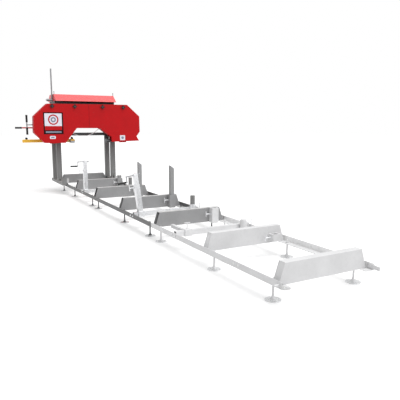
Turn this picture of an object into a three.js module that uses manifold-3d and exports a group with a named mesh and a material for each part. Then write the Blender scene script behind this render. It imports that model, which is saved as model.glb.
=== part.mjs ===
// Portable band sawmill: a levelled track with log stops and clamps, and a saw carriage on it.
// Millimetres. X runs across the track, Y along it away from the near end, Z up.
import * as THREE from 'three';
import { mergeVertices } from 'three/addons/utils/BufferGeometryUtils.js';
import Module from 'manifold-3d';

const wasm = await Module();
wasm.setup();

// Clearances and overlaps
const fit_gap = 0.3;
const slide_gap = 0.8;
const turn_gap = 0.7;
const overrun = 5;
const weld = 0.5;

// Track
const track_gauge = 900;
const section_length = 2190;
const rail_underside = 131.5;
const rail_height = 52.5;
const rail_leg = 85;
const rail_wall = 6;
const end_stop_radius = 9;
const end_stop_reach = 40;
const end_stop_drop = 7;
const tongue_reach = 62;
const tongue_overlap = 60;
const tongue_thickness = 5;
const tongue_bottom = 140;
const tongue_height = 32;
const travel_margin = 770;
const buffer_tab_height = 22;
const buffer_tab_thickness = 8;

// Bunks, the cross members that carry the log
const bunk_depth = 70;
const bunk_height = 159;
const bunk_wall = 4;
const bunk_side_gap = 17;
const bunk_slant = 53;
const section_bunk_shares = [[0.426, -0.033], [-0.011], [-0.01, -0.458]];
const joint_bunk_shares = [-0.0137, -0.0128];

// Levelling feet
const foot_inset = 51;
const foot_radius = 60;
const foot_rim_height = 7;
const foot_dish = 5;
const foot_cone_radius = 26;
const foot_cone_height = 30;
const foot_rod_radius = 8;
const foot_rod_top = 166;
const foot_nut_radius = 13.5;
const foot_nut_height = 12;
const foot_sides = 10;
const nut_sides = 6;
const foot_shares = [[0.391, 0.038, -0.434], [0.433, -0.065, -0.434], [0.434, -0.064, -0.432]];

// Log stops in sleeves on the bunks
const stop_tube = 55;
const stop_wall = 4;
const stop_slant = 42;
const stop_sleeve_width = 85;
const stop_sleeve_wall = 6;
const stop_sleeve_bottom = 130;
const stop_sleeve_top = 300;
const short_sleeve_bottom = 157;
const short_sleeve_top = 226;
const stop_2_x = 325;
const stop_2_top = 355;
const stop_2_bottom = 40;
const stop_3_x = 274;
const stop_3_top = 660;
const stop_3_bottom = 160;
const stop_4_x = 285;
const stop_4_top = 692;
const stop_4_bottom = 130;
const stop_5_x = 284;
const stop_5_top = 301;
const stop_5_bottom = 127;
const stop_6_x = 288;

// Locking screws with a crossways bar
const screw_radius = 6;
const screw_reach = 62;
const screw_bar_radius = 5;
const screw_bar_length = 66;
const screw_height = 233;
const screw_sides = 6;

// Crossbars that carry the clamps and the support posts
const crossbar_size = 50;
const crossbar_wall = 4;
const crossbar_bottom = 148;
const crossbar_plate = 6;
const crossbar_plate_length = 112;
const crossbar_plate_height = 36;
const crossbar_bolt_pitch = 72;
const crossbar_bolt_radius = 5;
const crossbar_bolt_head = 9;
const crossbar_bolt_head_height = 6;
const crossbar_bolt_height = 158;
const crossbar_shares = [-0.263, -0.2425, 0.25];

// Round support posts in collars on the crossbars
const support_x = 334;
const support_radius = 30;
const support_wall = 5;
const support_sides = 12;
const support_collar_wall = 6;
const support_collar_bottom = 152;
const support_collar_top = 245;
const support_a_top = 361;
const support_b_top = 354;
const support_c_top = 252;
const support_length = 250;
const support_c_length = 190;
const support_screw_height = 220;

// Log clamps: a sleeve on the crossbar, an upright tube and an inner tube with a screw spindle
const clamp_a_x = -391;
const clamp_b_x = -338;
const clamp_c_x = -298;
const clamp_a_lean = 0;
const clamp_b_lean = 7.5;
const clamp_sleeve_wall = 8;
const clamp_sleeve_length = 78;
const clamp_sleeve_gap = 0.5;
const clamp_outer_size = 60;
const clamp_outer_wall = 4;
const clamp_outer_top = 530;
const clamp_inner_bottom = 260;
const clamp_inner_top = 662;
const clamp_inner_wall = 4;
const clamp_lock_height = 500;
const clamp_spindle_height = 642;
const clamp_spindle_radius = 8;
const clamp_spindle_left = 108;
const clamp_spindle_right = 46;
const clamp_pad_radius = 18;
const clamp_pad_thickness = 8;
const clamp_crank_length = 66;
const clamp_crank_thickness = 9;
const clamp_crank_width = 20;
const clamp_grip_radius = 12;
const clamp_grip_length = 104;
const clamp_grip_start = 8;
const clamp_sides = 8;
const clamp_c_tube = 36;
const clamp_c_length = 300;

// Carriage mast
const post_x = 502;
const post_size = 80;
const post_wall = 5;
const post_setback = 385;
const post_pitch = 340;
const post_top = 1610;
const beam_bottom = 165;
const beam_height = 52;
const beam_wall = 5;
const beam_plate_thickness = 5;
const beam_plate_height = 127;
const wheel_guard_width = 38;
const wheel_guard_height = 84;
const wheel_guard_drop = 10;
const beam_near_reach = 350;
const beam_far_reach = 500;
const mast_tie_height = 70;
const mast_tie_depth = 60;
const bearing_plate_thickness = 12;
const bearing_plate_bottom = 1545;
const bearing_plate_top = 1690;
const beam_gusset_height = 70;
const beam_gusset_thickness = 8;

// Carriage wheels on the rails' top edges
const wheel_groove_radius = 28;
const wheel_flange_radius = 35;
const wheel_groove_width = 9;
const wheel_groove_slope = 5;
const wheel_width = 26;
const wheel_pin_radius = 8;
const wheel_sides = 14;
const wheel_bracket_thickness = 8;
const wheel_bracket_length = 60;
const wheel_bracket_rise = 18;
const wheel_near_reach = 280;
const wheel_far_reach = 320;
const wheel_run_gap = 3;

// Lift: a shaft across the mast, two chains and a lever
const lift_shaft_radius = 12;
const lift_shaft_z = 1640;
const lift_shaft_setback = 42;
const lift_shaft_sides = 10;
const sprocket_radius = 17.7;
const sprocket_width = 9;
const chain_clearance = 0.6;
const chain_thickness = 5.8;
const chain_width = 10;
const chain_bottom_z = 310;
const chain_arc_steps = 6;
const lever_x = -560;
const lever_hub_radius = 23;
const lever_hub_left = 92;
const lever_hub_right = 13;
const lever_rod_radius = 12.5;
const lever_length = 542;
const lever_sides = 10;

// Hood over the lift shaft
const hood_wall = 3;
const hood_bottom = 1621;
const hood_top = 1741;
const hood_front_reach = 150;
const hood_front_run = 150;
const hood_rear_reach = 490;
const hood_eye_radius = 5;
const hood_eye_rise = 36;
const hood_eye_inset = 8;

// Saw head cover, as shares of its half width and of its height
const cover_reach = 250;
const cover_depth = 147;
const cover_wall = 3;
const cover_half_width = 955;
const cover_bottom = 897;
const cover_height = 675;
const cover_seam = 1.2;
const cover_left_shares = [
  [-0.233, 0.378], [-0.449, 0], [-0.812, 0.003], [-0.995, 0.267], [-0.988, 0.672], [-0.749, 0.99],
];
const cover_right_shares = [
  [0.75, 1.005], [1, 0.696], [1.005, 0.278], [0.938, 0.153], [0.991, 0.028], [0.434, 0.009],
  [0.426, 0.145], [0.201, 0.376],
];
const knob_radius = 30;
const knob_depth = 26;
const knob_height_share = 0.93;
const knob_place_shares = [-0.667, -0.262, 0.262, 0.667];
const knob_sides = 8;
const blade_slot_bottom = 8;
const blade_slot_top = 96;
const hinge_barrel_radius = 6;
const hinge_pin_radius = 3;
const hinge_barrel_length = 120;
const hinge_drop = 7;
const hinge_setback = 7;
const hinge_lug_thickness = 8;
const hinge_left_share = -0.63;
const hinge_right_share = 0.7;
const hinge_corner_share = 0.4;
const hinge_sides = 8;

// Band wheels and blade
const band_wheel_x = 600;
const band_wheel_z = 1230;
const band_wheel_radius = 298.8;
const band_wheel_width = 30;
const band_wheel_rim = 34;
const band_wheel_hub = 58;
const band_wheel_web = 12;
const band_wheel_window_radius = 62;
const band_wheel_windows = 5;
const band_wheel_sides = 32;
const band_wheel_setback = 58;
const window_sides = 8;
const hub_radius = 42;
const hub_depth = 50;
const blade_thickness = 1.2;
const blade_width = 35;
const blade_setback = 50;
const axle_radius = 17;
const axle_cap_radius = 25;
const axle_cap_depth = 6;
const axle_sides = 12;

// Head frame behind the cover
const plate_gap = 1;
const plate_thickness = 6;
const plate_inset = 2;
const head_tube_size = 50;
const head_tube_wall = 4;
const head_tube_low_z = 1020;
const head_tube_high_z = 1430;
const head_sleeve_gap = 0.5;
const head_sleeve_wall = 8;
const far_sleeve_height = 100;
const head_arm_width = 25;
const chain_lug_height = 70;
const chain_lug_width = 14;
const drive_shaft_radius = 20;
const bearing_radius = 46;
const bearing_depth = 7;

// Drive: driven pulley, belt and engine on a deck
const driven_pulley_radius = 110;
const engine_pulley_radius = 45;
const pulley_width = 24;
const pulley_setback = 9;
const belt_thickness = 9;
const belt_width = 16;
const belt_gap = 0.4;
const pulley_sides = 20;
const deck_thickness = 8;
const deck_right = 955;
const engine_left = 590;
const engine_right = 950;
const engine_front_gap = 30;
const engine_length = 330;
const engine_shaft_x = 800;
const engine_shaft_z = 1150;
const engine_shaft_radius = 12;
const engine_block_height = 165;
const engine_cylinder_tilt = 25;
const engine_cylinder_height = 175;
const engine_cylinder_size = 120;
const engine_fin_thickness = 6;
const engine_fin_reach = 12;
const engine_fin_count = 5;
const tank_height = 110;
const tank_lift = 250;
const tank_inset = 20;
const starter_radius = 105;
const starter_depth = 55;
const muffler_width = 110;
const muffler_height = 90;

// Blade guide arm and the fixed guide
const arm_bottom = 905;
const arm_height = 55;
const arm_depth = 30;
const arm_reach = 165;
const arm_right = -256;
const arm_wall = 4;
const arm_gap = 0.5;
const arm_setback = 9;
const arm_knob_radius = 22;
const arm_knob_length = 34;
const arm_knob_inset = 69;
const arm_sleeve_wall = 6;
const arm_sleeve_left = -560;
const arm_sleeve_length = 120;
const guide_width = 68;
const guide_top_height = 30;
const guide_under_height = 36;
const guide_blade_gap = 0.5;
const guide_web = 14;
const guide_front_inset = 6;
const fixed_guide_x = 328;

// Tension block and its handle
const block_left = -680;
const block_right = -520;
const block_bottom = 1190;
const block_top = 1270;
const block_setback = 2;
const block_depth = 42;
const block_rail = 18;
const block_rail_left = 740;
const block_rail_right = 490;
const tension_travel = 12;
const tension_screw_z = 1208;
const tension_screw_radius = 9;
const tension_screw_end = -600;
const tension_handle_reach = 77;
const tension_handle_half = 167;
const tension_grip_length = 124;
const tension_grip_radius = 18;
const tension_bar_radius = 10;
const tension_bracket_inset = 15;
const tension_bracket_width = 18;
const tension_bracket_half = 24;

// Push handle and water pipe on the head
const push_reach = 170;
const push_z = 1155;
const push_left = -1190;
const push_bar_radius = 11;
const push_grip_radius = 16;
const push_grip_length = 110;
const push_plate_half = 30;
const pipe_radius = 5;
const pipe_steps = 14;
const pipe_sides = 6;
const pipe_left_share = -0.27;
const pipe_right_share = 0.25;
const pipe_sag = 96;

// Places that follow from the sizes above
const section_count = section_bunk_shares.length;
const bed_length = section_count * section_length;
const carriage_travel = bed_length - travel_margin;
const near_post_y = bed_length / 2 - post_setback;
const far_post_y = near_post_y + post_pitch;
const beam_near_end = near_post_y - beam_near_reach;
const beam_far_end = near_post_y + beam_far_reach;
const wheel_near_y = near_post_y - wheel_near_reach;
const wheel_far_y = near_post_y + wheel_far_reach;
const hood_front_y = near_post_y - hood_front_reach;
const hood_rear_y = near_post_y + hood_rear_reach;
const cover_front_y = near_post_y - cover_reach;
const push_y = near_post_y + push_reach;
const lever_top = lift_shaft_z + lever_length;
const arm_left = -cover_half_width - arm_reach;
const tension_handle_x = -cover_half_width - tension_handle_reach;
const tension_bracket_left = cover_half_width - tension_bracket_inset;
const rail_outer = track_gauge / 2;
const rail_top = rail_underside + rail_height;
const leg_top = rail_underside + rail_wall;
const bunk_foot_half = rail_outer - rail_wall - bunk_side_gap;
const bunk_top_half = bunk_foot_half - bunk_slant;
const wheel_axle_z = rail_top + wheel_groove_radius + fit_gap;
const wheel_x = rail_outer - rail_wall / 2;
const wheel_path_x = wheel_x - wheel_width / 2 - wheel_run_gap;
const wheel_path_z = wheel_axle_z - wheel_flange_radius - wheel_run_gap;
const crossbar_top = crossbar_bottom + crossbar_size;
const beam_top = beam_bottom + beam_height;
const post_half = post_size / 2;
const post_outer = post_x + post_half;
const post_inner = post_x - post_half;
const lift_shaft_y = near_post_y + post_half + lift_shaft_setback;
const chain_inner = sprocket_radius + chain_clearance;
const chain_outer = chain_inner + chain_thickness;
const cover_back_y = cover_front_y + cover_depth;
const plate_front_y = cover_back_y + plate_gap;
const plate_back_y = plate_front_y + plate_thickness;
const cover_top = cover_bottom + cover_height;
const sleeve_inner = post_half + head_sleeve_gap;
const sleeve_outer = sleeve_inner + head_sleeve_wall;
const head_tube_back_y = near_post_y - sleeve_outer + weld;
const head_tube_top = head_tube_high_z + head_tube_size;
const wheel_front_y = cover_front_y + band_wheel_setback;
const wheel_back_y = wheel_front_y + band_wheel_width;
const hub_back_y = wheel_front_y + hub_depth;
const blade_front_y = cover_front_y + blade_setback;
const blade_back_y = blade_front_y + blade_width;
const blade_facet_share = 1 / Math.cos(Math.PI / band_wheel_sides);
const blade_inner_radius = (band_wheel_radius + fit_gap) * blade_facet_share;
const blade_outer_radius = blade_inner_radius + blade_thickness;
const blade_run_top = band_wheel_z - blade_inner_radius;
const blade_run_bottom = band_wheel_z - blade_outer_radius;
const pulley_front_y = plate_back_y + pulley_setback;
const pulley_back_y = pulley_front_y + pulley_width;
const block_front_y = plate_back_y + block_setback;
const block_back_y = block_front_y + block_depth;
const arm_front_y = plate_back_y + arm_setback;
const arm_back_y = arm_front_y + arm_depth;
const hinge_y = cover_back_y - hinge_setback;
const hinge_z = cover_bottom - hinge_drop;
const engine_front_y = near_post_y - engine_front_gap;
const engine_back_y = engine_front_y + engine_length;
const deck_top = head_tube_low_z + deck_thickness;

function merged(geometry) {
  const plain = geometry.clone();
  plain.deleteAttribute('normal');
  plain.deleteAttribute('uv');
  return mergeVertices(plain);
}

function solid(geometry) {
  const closed = merged(geometry);
  const vertProperties = new Float32Array(closed.attributes.position.array);
  const triVerts = new Uint32Array(closed.index.array);
  return new wasm.Manifold(new wasm.Mesh({ numProp: 3, vertProperties, triVerts }));
}

function geometryOf(body) {
  const mesh = body.getMesh();
  const geometry = new THREE.BufferGeometry();
  const positions = new THREE.BufferAttribute(new Float32Array(mesh.vertProperties), 3);
  geometry.setAttribute('position', positions);
  geometry.setIndex(new THREE.BufferAttribute(new Uint32Array(mesh.triVerts), 1));
  geometry.computeVertexNormals();
  return geometry;
}

function joined(...bodies) {
  return bodies.reduce((whole, body) => whole.add(body));
}

function cut(body, ...tools) {
  return tools.reduce((rest, tool) => rest.subtract(tool), body);
}

// A box between two places on each axis
function block(x, y, z) {
  const low = [x, y, z].map((pair) => Math.min(...pair));
  const high = [x, y, z].map((pair) => Math.max(...pair));
  const geometry = new THREE.BoxGeometry(...high.map((value, axis) => value - low[axis]));
  geometry.translate(...high.map((value, axis) => (value + low[axis]) / 2));
  return solid(geometry);
}

// An outline pushed along an axis: (Y, Z) points along x, (X, Z) points along y, (X, Y) along z
function prism(axis, points, from, to) {
  const shape = new THREE.Shape(points.map(([first, second]) => new THREE.Vector2(first, second)));
  const geometry = new THREE.ExtrudeGeometry(shape, { depth: to - from, bevelEnabled: false });
  const x = new THREE.Vector3(1, 0, 0);
  const y = new THREE.Vector3(0, 1, 0);
  const z = new THREE.Vector3(0, 0, 1);
  const turn = new THREE.Matrix4();
  if (axis === 'x') {
    turn.makeBasis(y, z, x).setPosition(from, 0, 0);
  } else if (axis === 'y') {
    turn.makeBasis(x, z, y.clone().negate()).setPosition(0, to, 0);
  } else {
    turn.makeBasis(x, y, z).setPosition(0, 0, from);
  }
  geometry.applyMatrix4(turn);
  return solid(geometry);
}

// Points of a circle, starting half a step round so that flats lie square to the axes
function circle(centre, radius, sides) {
  return Array.from({ length: sides }, (_, index) => {
    const angle = ((index + 0.5) / sides) * 2 * Math.PI;
    return [centre[0] + radius * Math.cos(angle), centre[1] + radius * Math.sin(angle)];
  });
}

// A round bar along an axis, its centre given in the two other axes
function bar(axis, centre, radius, from, to, sides) {
  return prism(axis, circle(centre, radius, sides), Math.min(from, to), Math.max(from, to));
}

// A turned piece: (radius, place along the axis) pairs from axis to axis
function turned(axis, centre, profile, sides) {
  const points = profile.map(([radius, along]) => new THREE.Vector2(radius, along));
  const geometry = new THREE.LatheGeometry(points, sides);
  if (axis === 'x') {
    geometry.rotateZ(-Math.PI / 2);
    geometry.translate(0, centre[0], centre[1]);
  } else if (axis === 'y') {
    geometry.translate(centre[0], 0, centre[1]);
  } else {
    geometry.rotateX(Math.PI / 2);
    geometry.translate(centre[0], centre[1], 0);
  }
  return solid(geometry);
}

// A square tube along an axis, open at both ends
function squareTube(axis, centre, width, wall, from, to) {
  const half = width / 2;
  const inner = half - wall;
  const [a, b] = centre;
  const outline = (reach) => [
    [a - reach, b - reach], [a + reach, b - reach], [a + reach, b + reach], [a - reach, b + reach],
  ];
  const outside = prism(axis, outline(half), from, to);
  return cut(outside, prism(axis, outline(inner), from - overrun, to + overrun));
}

// An outline drawn in by a margin on every side
function inset(points, margin) {
  const area = points.reduce((sum, [x, y], index) => {
    const [nextX, nextY] = points[(index + 1) % points.length];
    return sum + x * nextY - nextX * y;
  }, 0);
  const side = Math.sign(area);
  const lines = points.map(([x, y], index) => {
    const [nextX, nextY] = points[(index + 1) % points.length];
    const length = Math.hypot(nextX - x, nextY - y);
    const normal = [(-side * (nextY - y)) / length, (side * (nextX - x)) / length];
    return { normal, offset: normal[0] * x + normal[1] * y + margin };
  });
  return lines.map((line, index) => {
    const before = lines[(index + lines.length - 1) % lines.length];
    const cross = before.normal[0] * line.normal[1] - before.normal[1] * line.normal[0];
    return [
      (before.offset * line.normal[1] - line.offset * before.normal[1]) / cross,
      (line.offset * before.normal[0] - before.offset * line.normal[0]) / cross,
    ];
  });
}

function finish(colour, roughness, metalness) {
  return () => new THREE.MeshStandardMaterial({ color: colour, roughness, metalness });
}

const grey_paint = finish(0x8c8c8f, 0.5, 0.3);
const pale_paint = finish(0xdedee0, 0.5, 0.2);
const dark_paint = finish(0x2a2a2c, 0.55, 0.2);
const zinc = finish(0xdfe1e4, 0.35, 0.8);
const steel = finish(0xb4b6ba, 0.35, 0.9);
const red_paint = finish(0xc12127, 0.45, 0.1);
const yellow_paint = finish(0xdeb03a, 0.5, 0.1);
const black_plastic = finish(0x1c1c1e, 0.6, 0);
const rubber = finish(0x141414, 0.85, 0);

const sawmill = new THREE.Group();

function place(name, body, material, parent = sawmill) {
  const mesh = new THREE.Mesh(geometryOf(body), material());
  mesh.name = name;
  parent.add(mesh);
  return mesh;
}

const sectionCentre = (index) => ((section_count - 1) / 2 - index) * section_length;
const sectionPlace = (index, share) => sectionCentre(index) + share * section_length;
const jointPlace = (index, share) => sectionPlace(index, share - 0.5);

// Bunk: a box tube across the track with slanted open ends
function bunk(y, bottom) {
  const top = leg_top + bunk_height;
  const outline = [
    [-bunk_foot_half, bottom], [bunk_foot_half, bottom], [bunk_top_half, top], [-bunk_top_half, top],
  ];
  const half = bunk_depth / 2;
  const body = prism('y', outline, y - half, y + half);
  const inside = half - bunk_wall;
  const reach = bunk_foot_half + overrun;
  return cut(body, block([-reach, reach], [y - inside, y + inside], [bottom + bunk_wall, top - bunk_wall]));
}

// Locking screw with a crossways bar; side is the way it points along X
function lockingScrew(x, y, z, side) {
  const end = x + side * screw_reach;
  const half = screw_bar_length / 2;
  const stem = bar('x', [y, z], screw_radius, x - side * weld, end, screw_sides);
  return joined(stem, bar('z', [end, y], screw_bar_radius, z - half, z + half, screw_sides));
}

const sleeveDepth = stop_tube + 2 * (slide_gap + stop_sleeve_wall);
const sleeveCentreY = (bunkY) => bunkY - bunk_depth / 2 - sleeveDepth / 2 + weld;

// Sleeve on the near face of a bunk, with its locking screw
function stopSleeve(x, bunkY, bottom, top) {
  const y = sleeveCentreY(bunkY);
  const halfWidth = stop_sleeve_width / 2;
  const halfDepth = sleeveDepth / 2;
  const halfBore = stop_tube / 2 + slide_gap;
  const body = block([x - halfWidth, x + halfWidth], [y - halfDepth, y + halfDepth], [bottom, top]);
  const z = Math.min(screw_height, (bottom + top) / 2 + screw_bar_radius);
  const bore = block(
    [x - halfBore, x + halfBore], [y - halfBore, y + halfBore], [bottom - overrun, top + overrun],
  );
  return joined(cut(body, bore), lockingScrew(x - halfWidth, y, z, -1));
}

function stopTube(x, bunkY, bottom, top, grown = 0) {
  const y = sleeveCentreY(bunkY);
  const half = stop_tube / 2 + grown;
  const inner = half - stop_wall;
  const outline = [
    [x - half, bottom], [x + half, bottom], [x + half, top - stop_slant], [x - half, top],
  ];
  const body = prism('y', outline, y - half, y + half);
  return cut(body, block([x - inner, x + inner], [y - inner, y + inner], [bottom - overrun, top + overrun]));
}

const bunkY = {
  bunk_1: sectionPlace(0, section_bunk_shares[0][0]),
  bunk_2: sectionPlace(0, section_bunk_shares[0][1]),
  bunk_3: jointPlace(0, joint_bunk_shares[0]),
  bunk_4: sectionPlace(1, section_bunk_shares[1][0]),
  bunk_5: jointPlace(1, joint_bunk_shares[1]),
  bunk_6: sectionPlace(2, section_bunk_shares[2][0]),
  bunk_7: sectionPlace(2, section_bunk_shares[2][1]),
};

function rail(side, from, to) {
  const outer = side * rail_outer;
  const inner = side * (rail_outer - rail_wall);
  const toe = side * (rail_outer - rail_leg);
  const outline = [
    [outer, rail_underside], [outer, rail_top], [inner, rail_top], [inner, leg_top], [toe, leg_top],
    [toe, rail_underside],
  ];
  return prism('y', outline, from, to);
}

const footX = rail_outer - foot_inset;
const crossbarY = crossbar_shares.map((share, index) => sectionPlace(index, share));

// Flat tongue on the right rail's near end, for one more section
function joiningTongue(end) {
  const face = rail_outer - rail_wall + weld;
  return block(
    [face - tongue_thickness, face], [end - tongue_reach, end + tongue_overlap],
    [tongue_bottom, tongue_bottom + tongue_height],
  );
}

function railSection(index) {
  const from = sectionCentre(index) - section_length / 2 + fit_gap / 2;
  const to = sectionCentre(index) + section_length / 2 - fit_gap / 2;
  const rails = [-1, 1].map((side) => {
    let body = rail(side, from, to);
    const holes = foot_shares[index].map((share) => {
      const place = [side * footX, sectionPlace(index, share)];
      const radius = foot_rod_radius + turn_gap;
      return bar('z', place, radius, rail_underside - overrun, leg_top + overrun, foot_sides);
    });
    const bolts = [-1, 1].map((way) => {
      const place = [crossbarY[index] + (way * crossbar_bolt_pitch) / 2, crossbar_bolt_height];
      const reach = side * (rail_outer + overrun);
      const start = side * (rail_outer - rail_wall - overrun);
      return bar('x', place, crossbar_bolt_radius + turn_gap, start, reach, screw_sides);
    });
    body = cut(body, ...holes, ...bolts);
    if (index === 0) {
      const tabTop = rail_top + buffer_tab_height;
      const span = [side * (rail_outer - rail_wall), side * rail_outer];
      body = joined(body, block(span, [to - buffer_tab_thickness, to], [rail_top - weld, tabTop]));
    }
    if (index === section_count - 1) {
      const stopY = beam_near_end - carriage_travel - end_stop_radius - fit_gap;
      const place = [stopY, beam_bottom - end_stop_drop];
      const start = side * (rail_outer - rail_wall - end_stop_radius);
      const end = side * (rail_outer + end_stop_reach);
      body = joined(body, bar('x', place, end_stop_radius, start, end, screw_sides));
      if (side > 0) {
        body = joined(body, joiningTongue(from));
      }
    }
    return body;
  });
  const bunks = section_bunk_shares[index].map((share) => bunk(sectionPlace(index, share), leg_top - weld));
  return joined(...bunks, ...rails);
}

// Track sections with their welded bunks, and the bolted bunks over the joints
place('track_section_1', joined(
  railSection(0), stopSleeve(stop_2_x, bunkY.bunk_2, stop_sleeve_bottom, stop_sleeve_top),
), grey_paint);
place('track_section_2', joined(
  railSection(1), stopSleeve(stop_4_x, bunkY.bunk_4, stop_sleeve_bottom, stop_sleeve_top),
), grey_paint);
place('track_section_3', joined(
  railSection(2), stopSleeve(stop_6_x, bunkY.bunk_6, short_sleeve_bottom, short_sleeve_top),
), pale_paint);
place('joint_bunk_3', joined(
  bunk(bunkY.bunk_3, leg_top + fit_gap),
  stopSleeve(stop_3_x, bunkY.bunk_3, stop_sleeve_bottom, stop_sleeve_top),
), grey_paint);
place('joint_bunk_5', joined(
  bunk(bunkY.bunk_5, leg_top + fit_gap),
  stopSleeve(stop_5_x, bunkY.bunk_5, stop_sleeve_bottom, stop_sleeve_top),
  stopTube(stop_5_x, bunkY.bunk_5, stop_5_bottom, stop_5_top, slide_gap + weld),
), pale_paint);

place('log_stop_2', stopTube(stop_2_x, bunkY.bunk_2, stop_2_bottom, stop_2_top), grey_paint);
place('log_stop_3', stopTube(stop_3_x, bunkY.bunk_3, stop_3_bottom, stop_3_top), grey_paint);
place('log_stop_4', stopTube(stop_4_x, bunkY.bunk_4, stop_4_bottom, stop_4_top), grey_paint);

// Levelling foot: a dished disc on a threaded rod, with a nut on each side of the rail leg
function foot(x, y) {
  const under = rail_underside - fit_gap;
  const over = leg_top + fit_gap;
  const profile = [
    [0, 0], [foot_radius, 0], [foot_radius, foot_rim_height], [foot_cone_radius, foot_dish],
    [foot_rod_radius, foot_cone_height], [foot_rod_radius, foot_rod_top], [0, foot_rod_top],
  ];
  const body = turned('z', [x, y], profile, foot_sides);
  const low = bar('z', [x, y], foot_nut_radius, under - foot_nut_height, under, nut_sides);
  const high = bar('z', [x, y], foot_nut_radius, over, over + foot_nut_height, nut_sides);
  return joined(body, low, high);
}

foot_shares.forEach((shares, index) => {
  shares.forEach((share, row) => {
    [['left', -1], ['right', 1]].forEach(([word, side]) => {
      const number = index * shares.length + row + 1;
      const material = index === section_count - 1 ? pale_paint : steel;
      place(`foot_${word}_${number}`, foot(side * footX, sectionPlace(index, share)), material);
    });
  });
});

// Crossbar with bolted end plates and the collar of its support post
const supportCollarRadius = support_radius + slide_gap + support_collar_wall;
const supportOffset = crossbar_size / 2 + supportCollarRadius - support_collar_wall / 2;

function crossbar(y) {
  const z = crossbar_bottom + crossbar_size / 2;
  const plateOuter = rail_outer - rail_wall - fit_gap;
  const plateInner = plateOuter - crossbar_plate;
  const body = squareTube('x', [y, z], crossbar_size, crossbar_wall, -plateInner - weld, plateInner + weld);
  const ends = [-1, 1].map((side) => {
    const halfLength = crossbar_plate_length / 2;
    const low = leg_top + fit_gap;
    const plate = block(
      [side * plateInner, side * plateOuter], [y - halfLength, y + halfLength],
      [low, low + crossbar_plate_height],
    );
    const bolts = [-1, 1].map((way) => {
      const centre = [y + (way * crossbar_bolt_pitch) / 2, crossbar_bolt_height];
      const headStart = rail_outer + fit_gap;
      const shank = bar(
        'x', centre, crossbar_bolt_radius, side * (plateOuter - weld), side * (headStart + weld),
        screw_sides,
      );
      const headEnd = headStart + crossbar_bolt_head_height;
      const head = bar('x', centre, crossbar_bolt_head, side * headStart, side * headEnd, screw_sides);
      return joined(shank, head);
    });
    return joined(plate, ...bolts);
  });
  const collarY = y - supportOffset;
  const collar = cut(
    bar(
      'z', [support_x, collarY], supportCollarRadius, support_collar_bottom, support_collar_top,
      support_sides,
    ),
    bar(
      'z', [support_x, collarY], support_radius + slide_gap, support_collar_bottom - overrun,
      support_collar_top + overrun, support_sides,
    ),
  );
  const screw = lockingScrew(support_x + support_radius + 2 * slide_gap, collarY, support_screw_height, 1);
  const half = crossbar_size / 2 + overrun;
  const notches = [-1, 1].map((side) => block(
    [side * wheel_path_x, side * rail_outer], [y - half, y + half], [wheel_path_z, crossbar_top + overrun],
  ));
  return joined(cut(body, ...notches), ...ends, collar, screw);
}

function supportPost(y, top, length, grown = 0) {
  const centre = [support_x, y - supportOffset];
  const bottom = top - length;
  const inner = support_radius - support_wall;
  const body = bar('z', centre, support_radius + grown, bottom, top, support_sides);
  return cut(body, bar('z', centre, inner, bottom - overrun, top - support_wall, support_sides));
}

place('crossbar_A', crossbar(crossbarY[0]), zinc);
place('crossbar_B', crossbar(crossbarY[1]), zinc);
place('crossbar_C', joined(
  crossbar(crossbarY[2]), supportPost(crossbarY[2], support_c_top, support_c_length, slide_gap + weld),
), pale_paint);
place('support_post_A', supportPost(crossbarY[0], support_a_top, support_length), dark_paint);
place('support_post_B', supportPost(crossbarY[1], support_b_top, support_length), dark_paint);

// Clamp sleeve that wraps the crossbar, centred on the clamp's own origin
const clampSleeveHalf = crossbar_size / 2 + clamp_sleeve_gap + clamp_sleeve_wall;
const clampZ = crossbar_bottom + crossbar_size / 2;

function clampSleeve() {
  const half = clamp_sleeve_length / 2;
  return squareTube('x', [0, 0], 2 * clampSleeveHalf, clamp_sleeve_wall, -half, half);
}

function leaning(body, lean) {
  return body.rotate([0, -lean, 0]);
}

function clampJaw(lean) {
  const half = clamp_outer_size / 2;
  const start = crossbar_size / 2 + clamp_sleeve_gap;
  const top = clamp_outer_top - clampZ;
  const bore = clamp_outer_size - 2 * clamp_outer_wall;
  const inside = block([-bore / 2, bore / 2], [-bore / 2, bore / 2], [clampSleeveHalf, top + overrun]);
  const lock = lockingScrew(-half, 0, clamp_lock_height - clampZ, -1);
  const upright = joined(block([-half, half], [-half, half], [start - weld, top]), lock);
  const foot = clampSleeve();
  const reach = clamp_sleeve_length;
  const passage = block([-reach, reach], [-start, start], [-start, start]);
  return cut(joined(foot, leaning(upright, lean)), leaning(inside, lean), passage);
}

function clampInner(lean) {
  const half = clamp_outer_size / 2 - clamp_outer_wall - slide_gap;
  const inner = half - clamp_inner_wall;
  const bottom = clamp_inner_bottom - clampZ;
  const top = clamp_inner_top - clampZ;
  const body = block([-half, half], [-half, half], [bottom, top]);
  const hollowTop = clamp_spindle_height - clampZ - 2 * clamp_spindle_radius;
  const hollow = block([-inner, inner], [-inner, inner], [bottom - overrun, hollowTop]);
  const centre = [0, clamp_spindle_height - clampZ];
  const radius = clamp_spindle_radius + turn_gap;
  const hole = bar('x', centre, radius, -half - overrun, half + overrun, clamp_sides);
  return leaning(cut(body, hollow, hole), lean);
}

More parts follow.
